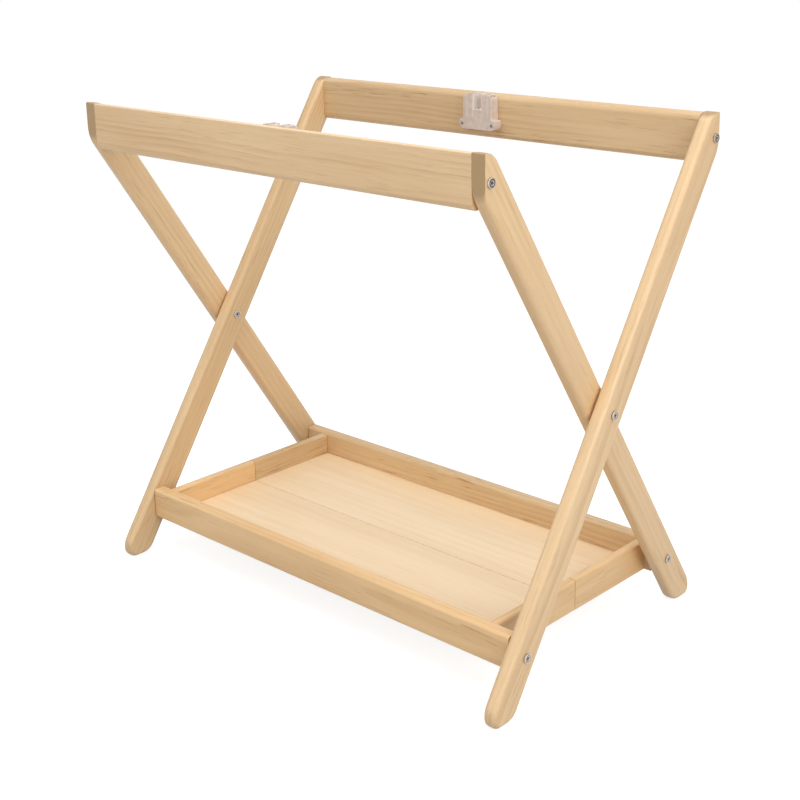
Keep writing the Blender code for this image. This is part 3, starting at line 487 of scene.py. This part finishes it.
def plank_finish(name, wood, direction, middle, draw):
    """Satin wood whose grain runs in a direction, round a heart drawn at random beside it."""
    finish, tree, shader = new_finish(name)
    coordinates = add_node(tree, "ShaderNodeTexCoord")
    places = coordinates.outputs["Object"]
    turn = direction.rotation_difference(ALONG)
    angle = draw.uniform(0.0, 2 * math.pi)
    distance = draw.uniform(*HEART_DISTANCE)
    along = draw.uniform(*HEART_ALONG)
    heart = Vector((along, distance * math.cos(angle), distance * math.sin(angle)))
    shift = heart - turn @ middle
    links = (("Vector", places), ("Location", shift), ("Rotation", turn.to_euler()))
    plank = add_node(tree, "ShaderNodeMapping", links).outputs[0]
    grain = add_node(tree, "ShaderNodeGroup", (
        ("Plank", plank),
        ("Pale", wood["pale"]),
        ("Deep", wood["deep"]),
        ("Ring Width", wood["ring"] * draw.uniform(*RING_WIDTH_SPREAD)),
        ("Ring Contrast", wood["contrast"] * draw.uniform(*RING_CONTRAST_SPREAD)),
        ("Line Colour", LINE_BROWN),
        ("Line Strength", wood["lines"]),
    ), node_tree=grain_group)
    facing = maths(tree, "ABSOLUTE", alike(tree, coordinates.outputs["Normal"], tuple(direction)))
    cut_across = ranged(tree, facing, END_GRAIN_FROM, END_GRAIN_FULL, 0.0, wood["end_share"])
    height = add_node(tree, "ShaderNodeSeparateXYZ", ((0, places),)).outputs["Z"]
    touched = ranged(tree, height, FOOT_HEIGHT, TOP_HEIGHT, FOOT_SHARE, 1.0)
    colour = mixed(tree, product(tree, cut_across, touched), grain.outputs["Colour"], END_GRAIN)
    edges = add_node(tree, "ShaderNodeGroup", (("Place", places),), node_tree=edge_group)
    # pale beech edges are partly wear and partly a painted highlight; the panels' dark sawn edges
    # are their own colour
    wear_and_highlight = product(tree, edges.outputs["Mask"], wood["edge_share"])
    colour = mixed(tree, wear_and_highlight, colour, wood["edge"])
    rough = ranged(tree, grain.outputs["Shine"], 0.0, 1.0, *WOOD_ROUGHNESS)
    rough = maths(tree, "SUBTRACT", rough, product(tree, wear_and_highlight, WORN_POLISH))
    bump = add_bump(tree, WOOD_BUMP, WOOD_RELIEF, grain.outputs["Height"])
    tree.links.new(colour, shader.inputs["Base Color"])
    tree.links.new(rough, shader.inputs["Roughness"])
    tree.links.new(bump, shader.inputs["Normal"])
    shader.inputs["Coat Weight"].default_value = LACQUER_COAT
    shader.inputs["Coat Roughness"].default_value = LACQUER_ROUGHNESS
    return finish


print("plank finish ready")

# %% [markdown]
# ## Every plank finished
# A plank is sawn along the tree, so its grain follows its length. The legs slant, and how much is
# read from two of their bolts: the one at the crossing and the one that the tray turns on. The
# random draws start from a fixed seed and follow the planks' names in order, so that every run
# saws the same planks.

# %% Finish the planks
def plank_direction(node):
    """Which way a plank's grain runs: along its length, and along a leg's slanted middle line."""
    if "leg" in node:
        lean = leg_slope if node in ("left_outer_leg", "right_inner_leg") else -leg_slope
        return Vector((0.0, lean, -1.0)).normalized()
    if "end_board" in node:
        return DEPTHWAYS
    return ALONG


def middle_of(node):
    """The middle of a solid's box."""
    low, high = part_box(node)
    return (low + high) / 2


crossing = middle_of("left_pivot_bolt")
tray_pivot = middle_of("tray_back_left_bolt")
leg_slope = tray_pivot.y / (crossing.z - tray_pivot.z)
draw = random.Random(7)
for node in sorted(planks):
    wood = WOODS.get(node, BEECH)
    finish = plank_finish(f"{node}_wood", wood, plank_direction(node), middle_of(node), draw)
    planks[node].data.materials.clear()
    planks[node].data.materials.append(finish)
print("legs lean", round(math.degrees(math.atan(leg_slope)), 2), "degrees")

# %% [markdown]
# ## Marks of the lathe
# A bolt's head is faced on a lathe, which leaves fine rings round its middle. They could be cut
# into the mesh, but they are finer than any face should be. So they are noise, read along the
# distance from the bolt's axis, and the group also gives that distance out, for the painted shade.

# %% The lathe marks
LATHE_SCALE = 5200.0
STAIN_SCALE = 380.0
LATHE_RANGE = (0.3, 0.7)
STAIN_RANGE = (0.4, 0.75)


def make_lathe_group():
    """Rings and stains round the X axis, and the distance from that axis."""
    group, entry, exit_node = new_group(
        "lathe marks",
        (("Centred", VECTOR, None),),
        (("Rings", FLOAT, None), ("Stains", FLOAT, None), ("Radius", FLOAT, None)),
    )
    centred = entry.outputs["Centred"]
    radius = length_of(group, stretched(group, centred, ACROSS))
    line = add_node(group, "ShaderNodeCombineXYZ", ((0, radius),)).outputs[0]
    rings = noise(group, line, scale=LATHE_SCALE)
    stains = noise(group, centred, detail=4.0, roughness=0.6, scale=STAIN_SCALE)
    group.links.new(rings, exit_node.inputs["Rings"])
    group.links.new(stains, exit_node.inputs["Stains"])
    group.links.new(radius, exit_node.inputs["Radius"])
    return group


lathe_group = make_lathe_group()
print("lathe nodes", len(lathe_group.nodes))

# %% [markdown]
# ## Turned steel and brass
# Plating stains, and stays bright where an edge is rubbed. Painted shade darkens a bolt's socket
# and a ring round it. It is given as bands of the distance from the axis, so the same finish serves
# a bolt, a crosshead screw and a plain washer. A Mapping node first puts the piece's own axis at
# nought. Brass inserts and the greyer screws have colours of their own.

# %% The material of a metal piece
# painted shade: the near-black laid in sockets, crosshead recesses and a ring on a bolt's head
PAINTED_SHADE_COLOUR = srgb(44, 34, 28)
PAINTED_SHADE_SHARE = 0.92
PLATED_STEEL = {"colour": srgb(206, 197, 188), "dull": srgb(158, 149, 140), "roughness": 0.34}
SCREW_STEEL = {"colour": srgb(166, 157, 148), "dull": srgb(124, 115, 106), "roughness": 0.38}
RAW_BRASS = {"colour": srgb(214, 180, 112), "dull": srgb(168, 132, 76), "roughness": 0.34}
METAL_EDGE_REACH, METAL_PATCH_SIZE = 0.0004, 900.0
RUBBED_SHARE = 0.6
SMOOTHER, DULLER, STAIN_DULLNESS = 0.06, 0.08, 0.10
METAL_BUMP, METAL_RELIEF = 0.25, 0.00005


def metal_finish(name, metal, axis, middle, bands=()):
    """Plated or bare metal, turned about an axis through its middle. Bands of painted shade may lie
    on it, each given by the four radii at which it starts, is full, starts to fade and has gone.
    """
    finish, tree, shader = new_finish(name)
    places = add_node(tree, "ShaderNodeTexCoord").outputs["Object"]
    turn = axis.rotation_difference(ALONG)
    shift = -(turn @ middle)
    links = (("Vector", places), ("Location", shift), ("Rotation", turn.to_euler()))
    centred = add_node(tree, "ShaderNodeMapping", links).outputs[0]
    marks = add_node(tree, "ShaderNodeGroup", (("Centred", centred),), node_tree=lathe_group)
    edges = add_node(tree, "ShaderNodeGroup", (
        ("Reach", METAL_EDGE_REACH), ("Patch Size", METAL_PATCH_SIZE), ("Place", centred),
    ), node_tree=edge_group)
    stain = ranged(tree, marks.outputs["Stains"], *STAIN_RANGE)
    base = mixed(tree, stain, metal["colour"], metal["dull"])
    base = mixed(tree, product(tree, edges.outputs["Mask"], RUBBED_SHARE), base, metal["colour"])
    radius = marks.outputs["Radius"]
    # each band is painted shade, darkening the colour between two radii from the axis
    for start, full, fading, gone in bands:
        painted_shade = product(tree, ranged(tree, radius, start, full, 0.0, PAINTED_SHADE_SHARE),
                        ranged(tree, radius, gone, fading))
        base = mixed(tree, painted_shade, base, PAINTED_SHADE_COLOUR)
    smooth, dull = metal["roughness"] - SMOOTHER, metal["roughness"] + DULLER
    rough = ranged(tree, marks.outputs["Rings"], *LATHE_RANGE, smooth, dull)
    rough = maths(tree, "ADD", rough, product(tree, stain, STAIN_DULLNESS))
    bump = add_bump(tree, METAL_BUMP, METAL_RELIEF, marks.outputs["Rings"])
    tree.links.new(base, shader.inputs["Base Color"])
    tree.links.new(rough, shader.inputs["Roughness"])
    tree.links.new(bump, shader.inputs["Normal"])
    shader.inputs["Metallic"].default_value = 1.0
    return finish


print("metal finish ready")

# %% [markdown]
# ## The bolts
# Ten flat-headed bolts and two sleeve nuts hold the stand together, each with a hexagon socket.
# A bolt could be a profile spun round its axis, but then the socket would still have to be cut.
# So a short cylinder is the head, its far face is inset and pulled out into the shank, a six-sided
# cutter makes the socket, and a bevel takes the sharpness off the rim.

# %% Turn one bolt
HEAD_SIDES = 48
HEAD_RADIUS = 0.0065
RIM_BEVEL = 0.00036
RIM_SEGMENTS = 3
RIM_ANGLE = math.radians(50.0)
SOCKET_RADIUS = 0.0023  # from its middle to the middle of a side
SOCKET_SIDES = 6
CUTTER_OVERRUN = 0.001
FACES_ALONG = 0.9  # how far along +X a face's normal points if it is the shank's end


def turn_bolt(name, head_height, shank_radius, shank_length, socket_depth):
    """A bolt along +X from under its head at 0, modelled from a primitive cylinder."""
    bpy.ops.object.select_all(action="DESELECT")
    bpy.ops.mesh.primitive_cylinder_add(
        vertices=HEAD_SIDES, radius=HEAD_RADIUS, depth=head_height,
        location=(-head_height / 2, 0.0, 0.0), rotation=(0.0, math.pi / 2, 0.0))
    bolt = bpy.context.object
    bolt.name = name
    bpy.ops.object.transform_apply(location=True, rotation=True, scale=True)
    bpy.ops.object.mode_set(mode="EDIT")
    bpy.ops.mesh.select_mode(type="FACE")
    bpy.ops.mesh.select_all(action="DESELECT")
    bpy.ops.object.mode_set(mode="OBJECT")
    for face in bolt.data.polygons:
        face.select = face.normal.x > FACES_ALONG
    bpy.ops.object.mode_set(mode="EDIT")
    bpy.ops.mesh.inset(thickness=HEAD_RADIUS - shank_radius)
    bpy.ops.mesh.extrude_region_move(TRANSFORM_OT_translate={"value": (shank_length, 0.0, 0.0)})
    bpy.ops.object.mode_set(mode="OBJECT")
    cutter = turn_socket_cutter(head_height, socket_depth)
    cut = bolt.modifiers.new("socket", "BOOLEAN")
    cut.operation = "DIFFERENCE"
    cut.solver = "EXACT"
    cut.object = cutter
    apply_modifiers(bolt)
    bpy.data.objects.remove(cutter, do_unlink=True)
    only(bolt)
    rim = bolt.modifiers.new("rim", "BEVEL")
    rim.width = RIM_BEVEL
    rim.segments = RIM_SEGMENTS
    rim.angle_limit = RIM_ANGLE
    apply_modifiers(bolt)
    bpy.ops.object.shade_smooth_by_angle(angle=SMOOTH_ANGLE)
    return bolt


def turn_socket_cutter(head_height, depth):
    """A six-sided bar that reaches the socket's depth into the head from its outer face."""
    corner_radius = SOCKET_RADIUS / math.cos(math.pi / SOCKET_SIDES)
    middle = -head_height + (depth - CUTTER_OVERRUN) / 2
    bpy.ops.object.select_all(action="DESELECT")
    bpy.ops.mesh.primitive_cylinder_add(
        vertices=SOCKET_SIDES, radius=corner_radius, depth=depth + CUTTER_OVERRUN,
        location=(middle, 0.0, 0.0), rotation=(0.0, math.pi / 2, 0.0))
    return bpy.context.object


def placed_copy(master, name, place, axis, finish):
    """A copy of a piece modelled along +X, with its own mesh, turned and moved in that mesh."""
    copy = master.copy()
    copy.data = master.data.copy()
    copy.name = name
    bpy.context.scene.collection.objects.link(copy)
    only(copy)
    copy.rotation_mode = "QUATERNION"
    copy.rotation_quaternion = ALONG.rotation_difference(axis)
    copy.location = place
    bpy.ops.object.transform_apply(location=True, rotation=True, scale=True)
    copy.data.materials.clear()
    copy.data.materials.append(finish)
    return copy


print("bolt helpers ready")

# %% [markdown]
# ## Bolts in their places
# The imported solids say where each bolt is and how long. A bolt's head lies outside on a leg, and
# a sleeve nut's head inside. One bolt of each length is turned at the origin, and all the others
# are copies of it, each with its own mesh. The turn and the place go into that mesh, so the
# piece's coordinates are still those of the stand and the finish can be placed by them.

# %% Place the bolts and nuts
def head_end(node, head_inside):
    """The place of the head's outer face, the direction of the shank, and the whole length.
    A nut's head is inside, and its barrel points outwards.
    """
    low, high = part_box(node)
    middle = (low + high) / 2
    outwards = 1.0 if middle.x > 0 else -1.0
    shank = outwards if head_inside else -outwards
    face_x = low.x if shank > 0 else high.x
    return Vector((face_x, middle.y, middle.z)), Vector((shank, 0.0, 0.0)), high.x - low.x


# painted shade: the socket painted dark, and a painted dark ring on the head round it
SOCKET_PAINTED_SHADE = (-0.002, -0.001, 0.0020, 0.0025)  # full from the middle outwards
RAIL_HEAD_PAINTED_SHADE = (SOCKET_PAINTED_SHADE, (0.0032, 0.0037, 0.0047, 0.0055))
LOW_HEAD_PAINTED_SHADE = (SOCKET_PAINTED_SHADE, (0.0034, 0.0038, 0.0043, 0.0048))  # a narrower ring
BOLT = (0.0023, 0.0030, 0.0017)  # head height, shank radius and depth of the socket
NUT = (0.0016, 0.0045, 0.0012)  # the same, with its barrel as the shank
LENGTH_DIGITS = 5  # lengths that agree to a hundredth of a millimetre share one master

bolt_nodes = sorted(node for node in nodes if node.endswith("_bolt"))
nut_nodes = sorted(node for node in nodes if node.endswith("_nut"))
masters = {}
for node in bolt_nodes + nut_nodes:
    is_nut = node in nut_nodes
    head_height, radius, socket_depth = NUT if is_nut else BOLT
    face, direction, length = head_end(node, is_nut)
    kind = (is_nut, round(length, LENGTH_DIGITS))
    if kind not in masters:
        shank_length = length - head_height
        masters[kind] = turn_bolt("bolt_master", head_height, radius, shank_length, socket_depth)
    # which bands of painted shade this head gets
    painted_shade = RAIL_HEAD_PAINTED_SHADE if "rail" in node else LOW_HEAD_PAINTED_SHADE
    steel = metal_finish(f"{node}_steel", PLATED_STEEL, ALONG, middle_of(node), painted_shade)
    under_head = face + direction * head_height
    bolt = placed_copy(masters[kind], f"turned_{node}", under_head, direction, steel)
    stands_for(bolt, node)
for master in masters.values():
    bpy.data.objects.remove(master, do_unlink=True)
print("bolts", len(bolt_nodes), "nuts", len(nut_nodes), "turned", len(masters))

# %% [markdown]
# ## Small pieces that keep their solids
# Dowels, washers, inserts, hinge leaves and pins already have their real shape, so their solids
# stay and only get a finish. The turned ones all have their axis along X. A leaf is flat, so its
# marks lie round an upright axis, and a dowel's grain runs along the dowel.

# %% Finish the small pieces
def give(node, finish):
    """The node's own solid keeps its shape and shows this finish."""
    nodes[node].data.materials.clear()
    nodes[node].data.materials.append(finish)


DOWEL = BEECH | {"ring": 0.0022}
LEAF_FACE = Vector((0.0, 0.0, 1.0))
for node in sorted(nodes):
    if node.endswith("_dowel"):
        along = DEPTHWAYS if node.startswith("tray") else ALONG
        give(node, plank_finish(f"{node}_wood", DOWEL, along, middle_of(node), draw))
    elif node.endswith("_insert"):
        give(node, metal_finish(f"{node}_brass", RAW_BRASS, ALONG, middle_of(node)))
    elif node.endswith(("_washer", "_pin")):
        give(node, metal_finish(f"{node}_steel", PLATED_STEEL, ALONG, middle_of(node)))
    elif node.endswith("_leaf"):
        give(node, metal_finish(f"{node}_steel", PLATED_STEEL, LEAF_FACE, middle_of(node)))
print("small pieces finished")

# %% [markdown]
# ## Crosshead screws
# Two small screws hold each bracket, and eight more hold the hinge leaves under the tray. A head's
# shape is a matter of a few radii. So a circle is pulled along the screw and resized from step to
# step, which makes a round head or a sunken one from a short list, and two crossed bars cut the
# recess.

# %% Model the screws
SCREW_SIDES = 24
CROSS_WIDTH = 0.0007
# painted shade in the crosshead recess
CROSS_PAINTED_SHADE = ((-0.002, -0.001, 0.0008, 0.0017),)  # full from the middle outwards


def cross_cutter(reach, depth, face_x):
    """Two crossed bars that cut a screwdriver's recess from the head's outer face."""
    bars = []
    for sizes in ((depth, reach, CROSS_WIDTH), (depth, CROSS_WIDTH, reach)):
        bpy.ops.object.select_all(action="DESELECT")
        bpy.ops.mesh.primitive_cube_add(size=1.0, location=(face_x, 0.0, 0.0))
        bar = bpy.context.object
        bar.scale = (2 * sizes[0], sizes[1], sizes[2])
        bpy.ops.object.transform_apply(location=True, rotation=True, scale=True)
        bars.append(bar)
    return bars


def turn_screw(name, outline, cross_reach, cross_depth):
    """A screw along +X from a profile of (distance along it, radius), with a crosshead."""
    bpy.ops.object.select_all(action="DESELECT")
    start, start_radius = outline[0]
    bpy.ops.mesh.primitive_circle_add(
        vertices=SCREW_SIDES, radius=start_radius, fill_type="NGON",
        location=(start, 0.0, 0.0), rotation=(0.0, math.pi / 2, 0.0))
    screw = bpy.context.object
    screw.name = name
    bpy.ops.object.transform_apply(location=True, rotation=True, scale=True)
    bpy.ops.object.mode_set(mode="EDIT")
    bpy.ops.mesh.select_all(action="SELECT")
    for (along, radius), (next_along, next_radius) in zip(outline, outline[1:]):
        bpy.ops.mesh.extrude_region_move(
            TRANSFORM_OT_translate={"value": (next_along - along, 0.0, 0.0)})
        share = next_radius / radius
        bpy.ops.transform.resize(value=(1.0, share, share))
    bpy.ops.mesh.select_all(action="SELECT")
    bpy.ops.mesh.normals_make_consistent(inside=False)
    bpy.ops.object.mode_set(mode="OBJECT")
    for bar in cross_cutter(cross_reach, cross_depth, start):
        cut = screw.modifiers.new("cross", "BOOLEAN")
        cut.operation = "DIFFERENCE"
        cut.solver = "EXACT"
        cut.object = bar
        apply_modifiers(screw)
        bpy.data.objects.remove(bar, do_unlink=True)
    only(screw)
    bpy.ops.object.shade_smooth_by_angle(angle=SMOOTH_ANGLE)
    return screw


print("screw helpers ready")

# %% [markdown]
# ## The bracket screws
# Their rounded heads stand out of the plastic, with painted shade in the cross. All four are alike,
# so one is modelled and copied. Each copy points from the inner side of its rail into the wood.

# %% Place the bracket screws
SCREW_RADIUS = 0.0015
PAN_HEAD = ((0.0, 0.0014), (0.00025, 0.0021), (0.0006, 0.0026), (0.0010, 0.0028), (0.0013, 0.0028))
PAN_SHANK_START = 0.00131
PAN_CROSS = (0.0030, 0.0008)  # how wide and how deep the cross is

screw_nodes = sorted(node for node in nodes if node.endswith("_screw"))
low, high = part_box(screw_nodes[0])
profile = PAN_HEAD + ((PAN_SHANK_START, SCREW_RADIUS), (high.y - low.y, SCREW_RADIUS))
master = turn_screw("screw_master", profile, *PAN_CROSS)
for node in screw_nodes:
    low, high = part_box(node)
    middle = (low + high) / 2
    inner_y = low.y if middle.y > 0 else high.y
    direction = Vector((0.0, math.copysign(1.0, middle.y), 0.0))
    # the screw's steel, with painted shade in its cross
    steel = metal_finish(f"{node}_steel", SCREW_STEEL, direction, middle, CROSS_PAINTED_SHADE)
    place = Vector((middle.x, inner_y, middle.z))
    stands_for(placed_copy(master, f"turned_{node}", place, direction, steel), node)
bpy.data.objects.remove(master, do_unlink=True)
print("bracket screws", len(screw_nodes))

# %% [markdown]
# ## The hinge screws
# Two screws with flat heads are sunk into each hinge leaf. They have no solids of their own, so
# their places are worked out from the leaf: evenly beside its middle, and half-way between the
# hinge's knuckle and the plate's far end. They move with the leaf's half of the tray.

# %% Place the hinge screws
HINGE_SCREW_SPACING = 0.024
LEAF_THICKNESS = 0.0012
FLAT_HEAD = ((0.0, 0.0024), (0.0001, 0.0024), (0.0010, 0.0014), (0.0050, 0.0014))
FLAT_CROSS = (0.0026, 0.0006)
SUNK_BY = 0.0001

hinge_screws = 0
master = turn_screw("screw_master", FLAT_HEAD, *FLAT_CROSS)
for node in sorted(node for node in nodes if node.endswith("_leaf")):
    low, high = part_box(node)
    middle = (low + high) / 2
    body = nodes[node]["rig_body"]
    side = 1.0 if "_back_" in node else -1.0
    knuckle = (high.z - low.z) / 2
    flat_end = high.y if side > 0 else low.y
    plate_y = (side * knuckle + flat_end) / 2
    under_z = high.z - LEAF_THICKNESS
    for offset in (-HINGE_SCREW_SPACING / 2, HINGE_SCREW_SPACING / 2):
        hinge_screws += 1
        name = f"hinge_screw_{hinge_screws}"
        place = Vector((middle.x + offset, plate_y, under_z + SUNK_BY))
        steel = metal_finish(f"{name}_steel", PLATED_STEEL, LEAF_FACE, place)
        screw = placed_copy(master, name, place, LEAF_FACE, steel)
        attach(screw, body)
bpy.data.objects.remove(master, do_unlink=True)
print("hinge screws", hinge_screws)

# %% [markdown]
# ## The clear brackets
# The brackets are moulded in clear plastic, faintly pink and a little milky, so the wood behind
# shows as a soft grey shade. Their walls are real walls with hollow cells between them. A painted
# highlight, near white, lies along the edges and in lines where a rib stands behind the face, and
# painted light brightens the shaded inside of the slot. Transmission stays a plain number on the
# shader, because it is the same all over, and the mould's slightly uneven skin comes from a bump.

# %% The clear plastic
CLEAR = srgb(246, 230, 218)
CLOUDED = srgb(232, 212, 199)
# near-white painted highlight, laid on the edges, the rib lines and the inside of the slot
PLASTIC_PAINTED_HIGHLIGHT = srgb(255, 245, 237)
RIBS_FROM_MIDDLE = (0.009, 0.0195)
RIB_LINE = (0.0013, 0.0006)  # from a rib's middle: where its pale line ends, and where it is full
RIB_SHARE = 0.8
CELL_FLOOR = (0.0185, 0.0195)  # above the bracket's underside, where the lines fade in
SLOT_SIDE = (0.0086, 0.0082)  # from the middle
SLOT_FLOOR = (0.0289, 0.0295)  # above the bracket's underside
CLOUD_SCALE = 160.0
CLOUD_RANGE = (0.35, 0.7)
FLOW_SCALE = (900.0, 900.0, 220.0)
MOULD_EDGE_REACH = 0.0014
CLOUD_ROUGHNESS = (0.3, 0.7, 0.14, 0.26)
EDGE_ROUGHNESS = 0.2
MOULD_BUMP, MOULD_RELIEF = 0.12, 0.0003
TRANSMISSION = 0.34
PLASTIC_IOR = 1.49


def painted_highlight_mask(tree, places, middle, underside):
    """Painted highlight lines on the face where a rib stands behind it, and painted light in the
    shaded slot.
    """
    apart = add_node(tree, "ShaderNodeSeparateXYZ", ((0, places),))
    across = maths(tree, "ABSOLUTE", maths(tree, "SUBTRACT", apart.outputs["X"], middle.x))
    height = maths(tree, "SUBTRACT", apart.outputs["Z"], underside)
    lines = 0.0
    for rib in RIBS_FROM_MIDDLE:
        beside = maths(tree, "ABSOLUTE", maths(tree, "SUBTRACT", across, rib))
        lines = maths(tree, "MAXIMUM", ranged(tree, beside, *RIB_LINE), lines)
    lines = product(tree, lines, ranged(tree, height, *CELL_FLOOR), RIB_SHARE)
    slot = product(tree, ranged(tree, across, *SLOT_SIDE), ranged(tree, height, *SLOT_FLOOR))
    return maths(tree, "MAXIMUM", lines, slot)


def clear_finish(name, middle, underside):
    """Clear, slightly milky plastic for a bracket whose middle and underside are given."""
    finish, tree, shader = new_finish(name)
    places = add_node(tree, "ShaderNodeTexCoord").outputs["Object"]
    clouds = noise(tree, places, detail=3.0, scale=CLOUD_SCALE)
    flow = noise(tree, stretched(tree, places, FLOW_SCALE))
    links = (("Reach", MOULD_EDGE_REACH), ("Place", places))
    edges = add_node(tree, "ShaderNodeGroup", links, node_tree=edge_group)
    colour = mixed(tree, ranged(tree, clouds, *CLOUD_RANGE), CLEAR, CLOUDED)
    # painted highlight along every edge of the bracket
    colour = mixed(tree, edges.outputs["Mask"], colour, PLASTIC_PAINTED_HIGHLIGHT)
    # painted highlight lines over the ribs, and painted light inside the slot
    colour = mixed(tree, painted_highlight_mask(tree, places, middle, underside), colour, PLASTIC_PAINTED_HIGHLIGHT)
    rough = ranged(tree, clouds, *CLOUD_ROUGHNESS)
    rough = maths(tree, "ADD", rough, product(tree, edges.outputs["Mask"], EDGE_ROUGHNESS))
    tree.links.new(colour, shader.inputs["Base Color"])
    tree.links.new(rough, shader.inputs["Roughness"])
    tree.links.new(add_bump(tree, MOULD_BUMP, MOULD_RELIEF, flow), shader.inputs["Normal"])
    shader.inputs["Metallic"].default_value = 0.0
    shader.inputs["Transmission Weight"].default_value = TRANSMISSION
    shader.inputs["IOR"].default_value = PLASTIC_IOR
    return finish


print("clear finish ready")

# %% [markdown]
# ## Both brackets moulded
# A mould has no perfectly sharp edges either, so the brackets are copied and eased in the same way
# as the planks, only more finely.

# %% Mould the brackets
MOULDED_EDGE = 0.0004

bracket_nodes = sorted(node for node in nodes if node.endswith("_bracket"))
for node in bracket_nodes:
    bracket = merged_copy(node, f"moulded_{node}")
    ease_edges(bracket, MOULDED_EDGE, EASED_SEGMENTS)
    bracket.data.materials.clear()
    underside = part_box(node)[0].z
    bracket.data.materials.append(clear_finish(f"{node}_plastic", middle_of(node), underside))
    stands_for(bracket, node)
print("brackets", len(bracket_nodes))

# %% [markdown]
# ## The studio
# The photograph has a plain white ground. A floor that is only white comes out grey under lamps
# that suit the wood. So it shows itself to the camera partly by its own glow, which keeps it white
# with a faint shadow, while it sends ordinary light up to the stand. The surround is made in the
# same way: white to look at, and a soft, even light for everything else.

# %% The floor
FLOOR_SIZE = 12.0
FLOOR_DROP = 0.0002
FLOOR_GLOW = 0.80
FLOOR_SHADE = srgb(176, 176, 176)
FLOOR_WHITE = srgb(182, 182, 182)
FLOOR_ROUGHNESS = 0.9
WHITE = (1.0, 1.0, 1.0, 1.0)


def seen_directly(tree):
    """1 for what the camera sees, straight or by way of gloss or clear plastic, and 0 otherwise."""
    path = add_node(tree, "ShaderNodeLightPath")
    seen = maths(tree, "ADD", path.outputs["Is Camera Ray"], path.outputs["Is Glossy Ray"])
    seen = maths(tree, "ADD", seen, path.outputs["Is Transmission Ray"])
    return ranged(tree, seen, 0.0, 1.0)


def mix_for_camera(tree, for_light, for_camera, output):
    """One shader for what is seen directly, and the other for the light that is sent out."""
    links = ((0, seen_directly(tree)), (1, for_light.outputs[0]), (2, for_camera.outputs[0]))
    both = add_node(tree, "ShaderNodeMixShader", links)
    tree.links.new(both.outputs[0], tree.nodes[output].inputs["Surface"])


bpy.ops.object.select_all(action="DESELECT")
bpy.ops.mesh.primitive_plane_add(size=FLOOR_SIZE, location=(0.0, 0.0, -FLOOR_DROP))
floor = bpy.context.object
floor.name = "studio_floor"
finish, tree, shader = new_finish("studio_floor_white")
shader.inputs["Base Color"].default_value = FLOOR_WHITE
shader.inputs["Roughness"].default_value = FLOOR_ROUGHNESS
shown = add_node(tree, "ShaderNodeBsdfPrincipled", (
    ("Base Color", FLOOR_SHADE), ("Roughness", FLOOR_ROUGHNESS),
    ("Emission Color", WHITE), ("Emission Strength", FLOOR_GLOW)))
mix_for_camera(tree, shader, shown, "Material Output")
floor.data.materials.append(finish)
print("floor", FLOOR_SIZE, "m wide")

# %% The surround
SURROUND_STRENGTH = 0.38

world = bpy.data.worlds.new("studio_surround")
world.use_nodes = True
tree = world.node_tree
soft = tree.nodes["Background"]
soft.inputs["Color"].default_value = WHITE
soft.inputs["Strength"].default_value = SURROUND_STRENGTH
bright = add_node(tree, "ShaderNodeBackground", (("Color", WHITE), ("Strength", 1.0)))
mix_for_camera(tree, soft, bright, "World Output")
bpy.context.scene.world = world
bpy.context.scene.view_settings.view_transform = "Standard"
print("surround", SURROUND_STRENGTH)

# %% [markdown]
# ## The lamps
# The photograph's light is broad and comes from above and from the right, with a weaker one in
# front that opens the shade. Three square lamps give the same. A spot or a sun would be simpler,
# but would draw hard shadows. Their level is plain: a colour comes out about as it is written.

# %% Lamps
LAMP_AIM = Vector((0.0, 0.0, 0.35))
LAMPS = (  # name, place, side length and power
    ("overhead", (0.3, -0.2, 2.6), 2.2, 34.0),
    ("right", (2.4, -0.6, 1.4), 1.6, 30.0),
    ("front", (-0.6, -2.5, 1.2), 1.8, 17.0),
)
for name, place, size, power in LAMPS:
    lamp = bpy.data.lights.new(f"{name}_lamp", "AREA")
    lamp.shape = "SQUARE"
    lamp.size = size
    lamp.energy = power
    holder = bpy.data.objects.new(f"{name}_lamp", lamp)
    bpy.context.scene.collection.objects.link(holder)
    holder.location = place
    holder.rotation_euler = (LAMP_AIM - Vector(place)).to_track_quat("-Z", "Y").to_euler()
print("lamps", len(LAMPS))
